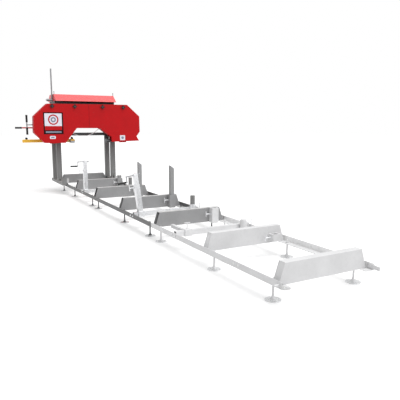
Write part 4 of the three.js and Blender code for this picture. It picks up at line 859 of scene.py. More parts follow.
class SAWMILL_OT_track(bpy.types.Operator):
    """Rails with their welded bunks, and the bunks bolted over the joints"""
    bl_idname = "sawmill.track"
    bl_label = "Track"

    def execute(self, context):
        for node, name, number, slot, finishes, pick in TRACK_PARTS:
            softened(node, name, "track", finishes, drop=beside_sleeve(number), pick=pick)
        screws = Form()
        for number in SLEEVES:
            t_screw(screws, *sleeve_screw(number), -1)
        made(screws, "stop_locking_screws", "track", ("zinc",))
        places = [(side * (RAIL_OUTER + 0.2), y + way, CROSSBAR_BOLT_Z)
                  for y in CROSSBAR_Y.values() for side in (-1, 1) for way in (-36, 36)]
        bolt_heads("crossbar_bolts", "track", places, outward(places), look="bright")
        self.spare_holes()
        self.end_plates()
        self.left_tongue()
        self.welds()
        return {"FINISHED"}

    def welds(self):
        """Weld beads where the bunks stand on the rails"""
        foot = 142.8
        for name, numbers, look, slot in (
                ("far", (1, 2, 3, 4), "rail", "grey_paint"),
                ("near", (5, 6, 7), "pale", "pale_paint")):
            spots = [(side, BUNK_Y[number] + way) for number in numbers for side in (-1, 1)
                     for way in (-35.8, 35.8)]
            lines = [((side * 388, y, foot), (side * 424, y, foot)) for side, y in spots]
            ridges(f"bunk_welds_{name}", "track", lines, 2.8, look, 4.0, 1.0, 8)

    def spare_holes(self):
        """Plugged spare holes in the rails, and those on the right rail's inner face"""
        plugs = Form()
        spots = [
            (side * (RAIL_OUTER + 0.1), side, y) for side in (-1, 1)
            for y in (1662, -485, -566, -1350, -1400, -2700, -2765)
        ]
        spots += [(RAIL_OUTER - RAIL_WALL - 0.1, -1, y) for y in (-2600, -2700)]
        for face, side, y in spots:
            plugs.ink = int(y < -2400)
            plugs.turned("x", (y, 160), [
                (0, 0.2), (7.0, 0.2), (8.0, 1.0), (9.2, 1.0), (10.0, 0), (0, -1.0)], 24, face, side)
        made(plugs, "spare_hole_plugs", "track", ("bright", "hose"))

    def end_plates(self):
        """Plates that close the left ends of the pale section's bunks"""
        plates = Form()
        for number in (6, 7):
            y = BUNK_Y[number]
            outline = [(-420.5, 146.2), (-370.3, 296.8), (-367.3, 296.8), (-417.5, 146.2)]
            plates.prism("y", outline, y - 30.8, y + 30.8, 0.0)
        made(plates, "bunk_end_plates", "track", ("pale",))

    def left_tongue(self):
        """Flat tongue under the left rail's near end, with its two bolts"""
        tongue = Form()
        outline = [(-456, -3284), (-456, -3306), (-440, -3318), (-398, -3322), (-390, -3312),
                   (-404, -3284), (-404, -3230), (-444, -3230)]
        tongue.prism("z", outline, 138.5, 143.5, 0.0)
        made(tongue, "left_joining_tongue", "track", ("guard",))
        places = [(x, -3302, 143.5) for x in (-438, -410)]
        bolt_heads("tongue_bolts", "track", places, [(0, 0, 1)] * 2, 6.5, 4.0, 9.0, "bright")


class SAWMILL_OT_log_stops(bpy.types.Operator):
    """Square log stops that slide in the sleeves"""
    bl_idname = "sawmill.log_stops"
    bl_label = "Log stops"

    def execute(self, context):
        for number in (2, 3, 4):
            node = f"log_stop_{number}"
            softened(node, f"stop_tube_{number}", node, ("grey",), edge=0.004)
        return {"FINISHED"}


class SAWMILL_OT_feet(bpy.types.Operator):
    """Levelling feet: pressed disc, threaded rod and two nuts"""
    bl_idname = "sawmill.feet"
    bl_label = "Levelling feet"

    def execute(self, context):
        disc = [
            (0, 0), (57.5, 0), (59.4, 0.8), (60, 2.4), (59.8, 5.4), (58.6, 6.8), (56.4, 7.0),
            (51, 5.6), (38, 5.0), (28, 6.4), (23, 9.4), (0, 9.4),
        ]
        stem = [
            (0, 8.6), (22.6, 8.8), (21, 10.5), (15, 18), (10.5, 26), (8.6, 30), (8.6, 38),
            (7.5, 39.5), (7.5, 164), (6.2, 166), (0, 166),
        ]
        for word in ("left", "right"):
            for number in range(1, 10):
                node = f"foot_{word}_{number}"
                low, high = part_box(node)
                x, y, z = on_machine((low + high) / 2)
                form = Form()
                form.turned("z", (x, y), disc, 48)
                form.ink = 1
                form.turned("z", (x, y), stem, 32)
                form.nut("z", (x, y), 13.4, 119.4, 131.1, math.radians(7 * number))
                form.nut("z", (x, y), 13.4, 137.9, 149.6, math.radians(11 * number))
                slot, shaft = ("pale_paint", "pale") if number > 6 else ("steel", "rod")
                looks = ("disc", shaft)
                made(form, f"levelling_foot_{word}_{number}", node, looks, (node,))
                ridges(f"foot_thread_{word}_{number}", node,
                       [((x, y, 42), (x, y, 117)), ((x, y, 151.5), (x, y, 163.5))], 8.0, shaft)
        return {"FINISHED"}


# Crossbars, support posts and clamps

SUPPORT_X = 334
SUPPORT_DROP = 58.8
COLLAR_Z = 220
BAR_END = 443.9
POST_TOPS = {"A": 361, "B": 354, "C": 252}


class SAWMILL_OT_crossbars(bpy.types.Operator):
    """Square crossbars with bolted end plates and the collars of the support posts"""
    bl_idname = "sawmill.crossbars"
    bl_label = "Crossbars and support posts"

    def execute(self, context):
        screws = Form()
        for letter, y in CROSSBAR_Y.items():
            centre = y - SUPPORT_DROP
            top = POST_TOPS[letter]
            fixed = letter == "C"

            def drop(a, b, c, centre=centre, fixed=fixed):
                off_screw = a > 371.5 and by_screw(b - centre, c - COLLAR_Z)
                in_post = fixed and c > 245.1 and math.hypot(a - SUPPORT_X, b - centre) < 32.5
                return abs(a) > BAR_END or off_screw or in_post
            slot, look = ("pale_paint", "pale") if fixed else ("zinc", "zinc")
            softened(f"crossbar_{letter}", f"crossbar_{letter}_dressed", "track", (look,),
                     edge=TUBE_EDGE, drop=drop)
            if fixed:
                body, nodes, slot, look = "track", (), "pale_paint", "pale"
                bottom, size = 243, 31.0
            else:
                body = f"support_post_{letter}"
                nodes, slot, look = (body,), "black_paint", "mast"
                bottom, size = top - 250, 29.6
            post = Form()
            post.turned("z", (SUPPORT_X, centre), [
                (size, bottom), (size, top - 2.5), (size - 0.8, top - 0.8), (size - 2.6, top),
                (0, top), (0, top - 5), (size - 5, top - 5), (size - 5, bottom)], 56)
            made(post, f"round_post_{letter}", body, (look,), nodes)
            t_screw(screws, SUPPORT_X + 37.5, centre, COLLAR_Z, 1)
        made(screws, "post_locking_screws", "track", ("zinc",))
        return {"FINISHED"}


CLAMPS = {"A": (-391, 0.0), "B": (-338, 7.5)}
LOCK_Z, SPINDLE_Z = 500, 642
CRANK_LENGTH = 66
CRANK_LEFT = 108


def leaning(letter):
    """The turn that leans a clamp's upright about its crossbar."""
    x, lean = CLAMPS[letter]
    pivot = Matrix.Translation((x, CROSSBAR_Y[letter], CLAMP_Z))
    return pivot @ Matrix.Rotation(math.radians(-lean), 4, "Y") @ pivot.inverted()


class SAWMILL_OT_clamps(bpy.types.Operator):
    """Log clamps: sleeve with upright tube, inner tube, spindle with crank and grip"""
    bl_idname = "sawmill.clamps"
    bl_label = "Log clamps"

    def execute(self, context):
        for letter in CLAMPS:
            x, y = CLAMPS[letter][0], CROSSBAR_Y[letter]
            tilt = leaning(letter)
            straight = tilt.inverted()

            def screw_away(a, b, c, x=x, y=y, straight=straight):
                a, b, c = straight @ Vector((a, b, c))
                return a < x - 30.2 and by_screw(b - y, c - LOCK_Z)
            jaw, inner = f"clamp_jaw_{letter}", f"clamp_inner_tube_{letter}"
            softened(jaw, f"clamp_body_{letter}", jaw, ("zinc",), edge=0.0035,
                     drop=screw_away)
            softened(inner, f"clamp_riser_{letter}", inner, ("zinc",), edge=TUBE_EDGE)
            lock = Form(tilt)
            t_screw(lock, x - 30, y, LOCK_Z, -1)
            made(lock, f"clamp_lock_{letter}", jaw, ("zinc",))
            self.crank(letter, x, y, tilt, f"clamp_crank_{letter}")
        softened("clamp_jaw_C", "clamp_body_C", "clamp_jaw_C", ("pale",),
                 edge=TUBE_EDGE)
        return {"FINISHED"}

    def crank(self, letter, x, y, tilt, body):
        """The screw spindle with its arm, pin and grip"""
        z = SPINDLE_Z
        low = z - CRANK_LENGTH
        left = x - CRANK_LEFT
        form = Form(tilt)
        form.turned("x", (y, z), [
            (0, left - 10.6), (6.6, left - 10.6), (8, left - 9.2), (8, left), (7.4, left),
            (7.4, x + 43), (8, x + 44), (8, x + 46), (16.4, x + 46), (18, x + 47.4), (18, x + 52.6),
            (16.4, x + 54), (6, x + 54), (0, x + 53.2)], 32)
        end = [(-10, 4), (-7, 9), (0, 10.5), (7, 9), (10, 4)]
        arm = [(y + a, low - b) for a, b in end] + [(y - a, z + b) for a, b in end]
        form.prism("x", arm, left - 9, left, 1.4)
        form.turned("x", (y, low), [
            (0, -123), (5, -123), (7, -121.4), (7, -18), (10.5, -18), (10.5, -11), (7, -10),
            (0, -10)], 28, left)
        made(form, f"clamp_spindle_{letter}", body, ("foot_zinc",), (body,))
        grip = Form(tilt)
        grip.turned("x", (y, low), [
            (7.2, -121), (10.2, -121), (11.6, -119.4), (12, -114), (11.2, -68), (12, -24),
            (12.4, -19.6), (11.4, -17.6), (7.2, -17.6)], 32, left)
        made(grip, f"clamp_grip_{letter}", body, ("grip",))
        line = [tilt @ Vector((x + place, y, z)) for place in (-CRANK_LEFT + 2, -30)]
        ridges(f"clamp_thread_{letter}", body, [line], 8.2, "steel", 3.0)


# Carriage

BETWEEN_POSTS = POST_X - POST_HALF - 0.5


def shaded_tie_or_post(x, y, z, normal):
    """The ties take the black frame paint as painted shade under the hood; the wheel guards are pale,
    and the rest is mast grey.
    """
    if abs(x) >= BETWEEN_POSTS:
        return 0
    # Above 1535 mm between the posts the black is painted shade from the hood.
    return 2 if z < 300 else int(z > 1535)


class SAWMILL_OT_mast(bpy.types.Operator):
    """Carriage posts on their base beams, with ties and bearing plates"""
    bl_idname = "sawmill.mast"
    bl_label = "Mast"

    def execute(self, context):
        softened("carriage_mast", "mast_frame", "carriage",
                 ("mast", "black", "guard"), pick=shaded_tie_or_post, segments=3, split=True)
        places, facings = [], []
        for side in (-1, 1):
            for y in both_sides(POST_Y, 20):
                for z in (1560, 1610):
                    places.append((side * (POST_X + POST_HALF + 0.2), y, z))
                    facings.append((side, 0, 0))
            for y in both_sides(TRACK_WHEEL_Y.values(), 24):
                places.append((side * (POST_X - POST_HALF - 0.2), y, 227))
                facings.append((-side, 0, 0))
        bolt_heads("mast_bolts", "carriage", places, facings, 7.5, 5.0, 10.0, "foot_zinc")
        guards = Form()
        for side in (-1, 1):
            x0, x1 = sorted((side * 461.4, side * 424.6))
            outline = [(x0, 203), (x1, 203), (x1, 285.4), (x0, 285.4)]
            guards.prism("y", outline, 2549.1, 2550.4, 0.0)
        made(guards, "wheel_guard_faces", "carriage", ("guard",))
        self.welds()
        return {"FINISHED"}

    def welds(self):
        """Weld beads round the feet of the posts"""
        foot = 293
        lines = []
        for side in (-1, 1):
            x0, x1 = side * (POST_X - 38.5), side * (POST_X + 38.5)
            for y in both_sides(POST_Y, 40.6):
                lines.append(((x0, y, foot), (x1, y, foot)))
        ridges("post_welds", "carriage", lines, 3.4, "mast", 4.4, 1.2, 8)


class SAWMILL_OT_carriage_wheels(bpy.types.Operator):
    """Grooved wheels on the rails' top edges"""
    bl_idname = "sawmill.carriage_wheels"
    bl_label = "Carriage wheels"

    def execute(self, context):
        half = [
            (8.8, -13), (19, -13), (20, -11.4), (27, -11.4), (28.6, -13), (33.8, -13),
            (35, -11.8), (35, -9.9), (34.6, -9.4), (28.1, -4.6),
        ]
        profile = half + [(radius, -place) for radius, place in reversed(half)]
        for row, y in TRACK_WHEEL_Y.items():
            for word, side in (("left", -1), ("right", 1)):
                node = f"carriage_wheel_{row}_{word}"
                form = Form()
                form.turned("x", (y, TRACK_WHEEL_Z), profile, 64, side * 447, side)
                made(form, f"track_wheel_{row}_{word}", node, ("turned",), (node,))
                cap = Form()
                cap.turned("x", (y, TRACK_WHEEL_Z), [
                    (0, -5), (6, -5), (7.8, -3.6), (7.8, -0.5), (11.5, -0.5), (11.5, -2.2),
                    (7.9, -2.4), (7.9, 3), (0, 3)], 32, side * 434, side)
                made(cap, f"wheel_pin_end_{row}_{word}", "carriage", ("foot_zinc",))
        return {"FINISHED"}


class SAWMILL_OT_hood(bpy.types.Operator):
    """Folded hood over the lift shaft, with two eye bolts"""
    bl_idname = "sawmill.hood"
    bl_label = "Hood"

    def execute(self, context):
        softened("mast_hood", "lift_hood", "carriage", ("hood_red_painted_sheen",),
                 edge=sizes().sheet_edge, drop=lambda x, y, z: z > HOOD_TOP + 0.1)
        eyes = Form()
        for side in (-1, 1):
            x, y = side * 537.3, 2908
            eyes.turned("z", (x, y), [
                (0, 0), (10, 0), (10, 2), (6, 3.5), (6, 29), (0, 29)], 24, HOOD_TOP)
            loop = [(x, *pair) for pair in ring_points((y, HOOD_TOP + 39), 11, 20)]
            eyes.rod(loop, 4.6, 12, endless=True)
        made(eyes, "hood_eye_bolts", "carriage", ("foot_zinc",))
        places = [(side * x, 2800, 1661) for side in (-1, 1) for x in (180, 420)]
        slope = Vector((0, -120, 150)).normalized()
        bolt_heads("hood_screws", "carriage", places, [slope] * 4, 4.5, 3.0, 7.0, "foot_zinc")
        return {"FINISHED"}


class SAWMILL_OT_lift(bpy.types.Operator):
    """Lift shaft with sprockets, two roller chains and the lever"""
    bl_idname = "sawmill.lift"
    bl_label = "Lift"

    def execute(self, context):
        centre = (SHAFT_Y, SHAFT_Z)
        shaft = Form()
        shaft.turned("x", centre, [(0, -665), (10.6, -665), (12, -663.6), (12, 540.4), (10.6, 541.7),
                                   (0, 541.7)], 36)
        for x in (-POST_X, POST_X):
            shaft.turned("x", centre, [
                (12, -4.5), (16.4, -4.5), (17.5, -3), (17.5, 3), (16.4, 4.5), (12, 4.5)], 30, x)
            shaft.turned("x", centre, [
                (12, -22), (16, -22), (17, -21), (17, -9), (16, -8), (12, -8)], 30, x)
        made(shaft, "lift_shaft_turned", "lift_shaft", ("turned",), ("lift_shaft",))
        for side, word in ((-1, "left"), (1, "right")):
            self.chain(side * POST_X, word)
        lever = Form()
        lever.turned("x", centre, [
            (12.8, -651.4), (21.4, -651.4), (23, -649.8), (23, -633), (21.6, -631.4), (21.6, -567),
            (23, -565.4), (23, -549), (21.4, -547.4), (12.8, -547.4)], 40)
        lever.turned("z", (LEVER_X, SHAFT_Y), [
            (0, 1655), (15.5, 1655), (15.5, 1680), (12.4, 1684), (12.2, LEVER_TOP - 8),
            (10.6, LEVER_TOP - 2.6), (6, LEVER_TOP - 0.2), (0, LEVER_TOP)], 36)
        made(lever, "lift_lever_rod", "lift_lever", ("dull",), ("lift_lever",))
        return {"FINISHED"}

    def chain(self, x, word):
        """A roller chain: side plates and rollers that follow the loop"""
        tree = Repeat(f"chain {word}", "chain")
        pitch = tree.size("Pitch", sizes().chain_pitch)
        half = tree.desk.math("MULTIPLY", pitch, 0.5)
        roller = tree.moved(tree.cylinder(10, 2.7 * MM, 5.4 * MM), turn=Z_TO_Y)
        plates = []
        for place in (-4.3 * MM, 4.3 * MM):
            plates += [
                tree.moved(tree.cylinder(8, 2.8 * MM, 1.1 * MM), y=place, turn=Z_TO_Y),
                tree.moved(tree.cube(4.4 * MM, 1.1 * MM, pitch), y=place, z=half),
            ]
        for place in (-3.1 * MM, 3.1 * MM):
            plates.append(tree.moved(tree.cube(4.9 * MM, 0.9 * MM, pitch), y=place, z=half))
        length = 2 * (SHAFT_Z - CHAIN_LOW) + 2 * math.pi * SPROCKET_RADIUS
        pairs = round(length / (2 * sizes().chain_pitch / MM))
        count = tree.size("Links", 2 * pairs, "NodeSocketInt")
        tree.on_path(tree.together(roller, *plates), count)
        radius = SPROCKET_RADIUS
        loop = [(x, SHAFT_Y + radius * c, centre + radius * s)
                for centre, c, s in oval(((SHAFT_Z, 0.0), (CHAIN_LOW, math.pi)), 16)]
        piece = run(tree, f"roller_chain_{word}", loop, closed(loop))
        seated(piece, "carriage")
        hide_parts(f"lift_chain_{word}")


# Saw head

def door_drop(x, y, z):
    """The knobs, which door_knobs and knob_studs replace."""
    return y < COVER_FRONT - 0.1


KNOBS = {"left": (-637, -250.2), "right": (250.2, 637)}
KNOB_Z = COVER_LOW + 0.93 * COVER_HEIGHT


def star_knob(form, x, z):
    """Four-lobed clamping knob with a skirt and a stud."""
    lobes = []
    count = 72
    for k in range(count):
        a = 2 * math.pi * k / count
        radius = 29.5 + 9.5 * math.cos(4 * a)
        lobes.append((x + radius * math.cos(a), z + radius * math.sin(a)))
    form.prism("y", lobes, COVER_FRONT - 25.6, COVER_FRONT - 8, 2.4, turn=math.radians(40))
    form.turned("y", (x, z), [(0, 1), (15, 1), (15, -1), (13, -9), (0, -9)], 32, COVER_FRONT)


def flat_panel(form, x, z, proud, ink, corner):
    """A thin plate on the cover's front, its corners rounded."""
    (x0, x1), (z0, z1) = x, z
    points = []
    for cx, cz, start in ((x1 - corner, z1 - corner, 0), (x0 + corner, z1 - corner, 90),
                          (x0 + corner, z0 + corner, 180), (x1 - corner, z0 + corner, 270)):
        for k in range(6):
            a = math.radians(start + 18 * k)
            points.append((cx + corner * math.cos(a), cz + corner * math.sin(a)))
    form.ink = ink
    form.prism("y", points, COVER_FRONT - proud, COVER_FRONT + 0.4, 0.0)


class SAWMILL_OT_cover(bpy.types.Operator):
    """The two cover doors with knobs and plain panels"""
    bl_idname = "sawmill.cover"
    bl_label = "Cover doors"

    def execute(self, context):
        for word in ("left", "right"):
            node = f"cover_door_{word}"
            softened(node, f"door_{word}", node, ("red",), edge=sizes().sheet_edge,
                     drop=door_drop, segments=3)
            knobs, studs = Form(), Form()
            for x in KNOBS[word]:
                star_knob(knobs, x, KNOB_Z)
                studs.turned("y", (x, KNOB_Z), [
                    (0, -27.4), (2.8, -27.4), (4, -26.2), (4, -20), (0, -20)], 24, COVER_FRONT)
            made(knobs, f"door_knobs_{word}", node, ("knob",),
                 angle=math.radians(40))
            made(studs, f"knob_studs_{word}", node, ("foot_zinc",))
        self.seam()
        self.left_panel()
        self.right_panel()
        return {"FINISHED"}

    def left_panel(self):
        """A framed pale panel with plain bands and rings, and a small plate under it"""
        panel = Form()
        flat_panel(panel, (-791, -459), (1050, 1420), 0.7, 0, 6)
        flat_panel(panel, (-771, -481), (1118, 1402), 1.0, 1, 4)
        flat_panel(panel, (-759, -493), (1072, 1100), 1.0, 2, 4)
        flat_panel(panel, (-771, -481), (1118, 1188), 1.2, 3, 4)
        for ink, radius, proud in ((3, 88, 1.3), (1, 66, 1.5), (2, 44, 1.7), (1, 22, 1.9)):
            panel.ink = ink
            panel.turned("y", (-625, 1296), [
                (0, -proud), (radius, -proud), (radius, 0), (0, 0)], 56, COVER_FRONT)
        made(panel, "panel_left", "cover_door_left",
             ("panel_dark", "panel_pale", "panel_grey", "red"))
        small = Form()
        flat_panel(small, (-694, -596), (969, 1020), 0.8, 0, 14)
        flat_panel(small, (-676, -614), (983, 1006), 1.0, 1, 8)
        made(small, "small_plate", "cover_door_left", ("panel_pale", "panel_grey"))

    def seam(self):
        """Dark strip of painted shade in the gap where the left door meets the right one"""
        strip = Form()
        front, back, low, high = COVER_FRONT - 0.5, COVER_FRONT + 0.2, 1182, 1566
        strip.prism("z", [(-2.2, front), (2.2, front), (2.2, back), (-2.2, back)], low, high, 0.0)
        made(strip, "door_gap_shade_strip", "cover_door_left", ("seam",))

    def right_panel(self):
        """A small square plate with a plain disc"""
        plate = Form()
        flat_panel(plate, (567, 666), (930, 1021), 0.8, 0, 5)
        flat_panel(plate, (590, 643), (952, 1000), 1.0, 1, 24)
        made(plate, "square_plate", "cover_door_right", ("panel_pale", "panel_grey"))


PIPE_LEFT, PIPE_RIGHT = -257.9, 238.8
PIPE_LOW, PIPE_HIGH = 1060, 1162
PIPE_SAG = 96
PIPE_Y = 2803.5


def frame_drop(x, y, z):
    """The push handle, which push_bar and push_grip replace."""
    return x < -478.7 and abs(y - PUSH_BAR[0]) < 20 and abs(z - PUSH_BAR[1]) < 20


class SAWMILL_OT_head_frame(bpy.types.Operator):
    """Head frame: back plate, cross tubes, sleeves, deck, push handle and water pipe"""
    bl_idname = "sawmill.head_frame"
    bl_label = "Head frame"

    def execute(self, context):
        softened("head_frame", "head_frame_dressed", "head",
                 ("black", "red", "hose"), edge=TUBE_EDGE, drop=frame_drop, pick=self.coat)
        handle = Form()
        handle.turned("x", PUSH_BAR, [
            (0, -1189), (10, -1189), (11, -1187), (11, -1080), (11, -478), (0, -478)], 28)
        made(handle, "push_bar", "head", ("red",))
        grip = Form()
        grip.turned("x", PUSH_BAR, [
            (9, -1190), (14, -1190), (16, -1187.6), (16, -1180), (15, -1140), (16, -1096),
            (16.6, -1086), (14.6, -1082), (11.1, -1081)], 36)
        made(grip, "push_grip", "head", ("grip",))
        places = [(side * 550.6, 2900, z) for side in (-1, 1) for z in (1060, 1250, 1440)]
        bolt_heads("frame_bolts", "head", places, outward(places), 8.0, 5.5, 11.0)
        return {"FINISHED"}

    def coat(self, x, y, z, normal):
        """The back plate is red as the doors are; the pipe is pale and the rest black"""
        share = (x - PIPE_LEFT) / (PIPE_RIGHT - PIPE_LEFT)
        line = PIPE_LOW + (PIPE_HIGH - PIPE_LOW) * share - 4 * PIPE_SAG * share * (1 - share)
        if COVER_BACK + 1.8 < y < COVER_BACK + 2.6 and normal.y < -0.9:
            return 2
        tube_face = abs(y - PIPE_Y) < 0.3 and normal.y < -0.9
        if 0 <= share <= 1 and abs(y - PIPE_Y) < 5.4 and abs(z - line) < 9 and not tube_face:
            if abs(normal.y) < 0.97:
                return 2
        plate = COVER_BACK + 0.5 < y < PLATE_BACK + 0.1 and z > COVER_LOW - 1 and not tube_face
        return int(plate and abs(x) < 956)


class SAWMILL_OT_band(bpy.types.Operator):
    """Band wheels, toothed blade, drive pulleys and belt"""
    bl_idname = "sawmill.band"
    bl_label = "Band wheels and blade"

    def execute(self, context):
        for word in ("left", "right"):
            node = f"band_wheel_{word}"
            softened(node, f"blade_wheel_{word}", node, ("cast",), edge=CAST_EDGE)
        self.blade()
        softened("drive_belt", "vee_belt", "head", ("belt",), edge=0.001)
        pulley = Form()
        pulley.turned("y", ENGINE_SHAFT, [
            (0, 2812.6), (14, 2812.6), (14, 2813), (43.8, 2813), (45, 2814.2), (45, 2816.4),
            (44, 2817.2), (44, 2832.8), (45, 2833.6), (45, 2835.8), (43.8, 2837), (12, 2837),
            (12, 2893), (0, 2893)], 48)
        made(pulley, "engine_pulley_turned", "engine_pulley", ("turned",),
             ("engine_pulley",))
        return {"FINISHED"}

    def blade(self):
        """A thin band with its teeth towards the cover's front"""
        band = bmesh.new()
        loop = oval(((WHEEL_X, -math.pi / 2), (-WHEEL_X, math.pi / 2)), 64)
        rims = []
        for radius, y in ((BLADE_RADIUS - 1.2, BLADE_FRONT + 5), (BLADE_RADIUS, BLADE_FRONT + 5),
                          (BLADE_RADIUS, BLADE_BACK), (BLADE_RADIUS - 1.2, BLADE_BACK)):
            rims.append([
                band.verts.new((x + radius * c, y, WHEEL_Z + radius * s)) for x, c, s in loop])
        for first, second in zip(rims, rims[1:] + rims[:1]):
            wall(band, first, second)
        form = Form()
        form.take(band)
        made(form, "saw_band", "head", ("blade",), ("band_blade",))
        tree = Repeat("blade teeth", "blade")
        pitch = tree.size("Pitch", sizes().tooth_pitch)
        length = 4 * WHEEL_X + 2 * math.pi * BLADE_RADIUS
        count = tree.size("Teeth", round(length / (sizes().tooth_pitch / MM)), "NodeSocketInt")
        tooth = tree.cone(4, 0.4 * MM, tree.desk.math("MULTIPLY", pitch, 0.42), 5.0 * MM)
        tooth = tree.moved(tooth, scale=(0.09, 1, 1), turn=Z_TO_Y)
        tree.on_path(tooth, count)
        radius = BLADE_RADIUS - 0.6
        path = [(x + radius * c, BLADE_FRONT + 5.1, WHEEL_Z + radius * s) for x, c, s in loop]
        seated(run(tree, "blade_teeth", path, closed(path)), "head")


class SAWMILL_OT_guide_arm(bpy.types.Operator):
    """Yellow blade guide arm with its knob and guide block"""
    bl_idname = "sawmill.guide_arm"
    bl_label = "Blade guide arm"

    def execute(self, context):
        softened("blade_guide_arm", "guide_arm", "blade_guide_arm",
                 ("yellow", "foot_zinc"), edge=TUBE_EDGE,
                 drop=lambda x, y, z: z > ARM_TOP + 0.3,
                 pick=lambda x, y, z, n: int(x > -325 and z < 928))
        knob = Form()
        knob.turned("z", (-1051, 2828), [
            (0, -1), (12, -1), (12, 3), (18.5, 5), (22, 9), (22, 27), (19.5, 32), (15, 34),
            (0, 34)], 36, ARM_TOP)
        made(knob, "guide_arm_knob", "blade_guide_arm", ("plastic",))
        bracket = Form()
        bracket.prism("x", [(2780, ARM_TOP - 0.5), (2780, ARM_TOP + 10), (2796, ARM_TOP + 32),
                            (2812, ARM_TOP + 32), (2818, ARM_TOP - 0.5)], -302, -262, 1.2)
        bracket.nut("z", (-289, 2804), 10, ARM_TOP + 32, ARM_TOP + 40)
        bracket.turned("y", (-246, ARM_TOP - 36), [
            (0, 2776), (13, 2776), (15, 2778), (15, 2790), (13, 2792), (0, 2792)], 32)
        made(bracket, "guide_bracket", "blade_guide_arm", ("black",))
        return {"FINISHED"}


class SAWMILL_OT_tension(bpy.types.Operator):
    """Tension block with its screw and crossways handle"""
    bl_idname = "sawmill.tension"
    bl_label = "Blade tension"

    def execute(self, context):
        softened("tension_block", "axle_block", "tension_block", ("foot_zinc",),
                 edge=CAST_EDGE)
        y, z, x = 2827, 1208, -1032
        form = Form()
        form.turned("x", (y, z), [
            (0, x - 12), (11, x - 12), (12.5, x - 10), (12.5, x + 10), (9, x + 12), (8.2, x + 13),
            (8.2, -601), (7, -600), (0, -600)], 32)
        form.turned("z", (x, y), [
            (0, 1041), (8, 1041), (9.8, 1042.4), (9.8, 1373.6), (8, 1375), (0, 1375)], 32)
        made(form, "tension_screw", "tension_handle", ("dull",), ("tension_handle",))
        ridges("tension_thread", "tension_handle", [((x + 60, y, z), (-603, y, z))], 9.0,
               "dull", 4.0)
        grips = Form()
        for low, high in ((1041.2, 1164), (1252, 1374.8)):
            grips.turned("z", (x, y), [
                (9.9, low), (14, low), (16.8, low + 2.4), (17.4, low + 9), (16.2, (low + high) / 2),
                (17.4, high - 9), (16.8, high - 2.4), (14, high), (9.9, high)], 36)
        made(grips, "tension_grips", "tension_handle", ("grip",))
        return {"FINISHED"}


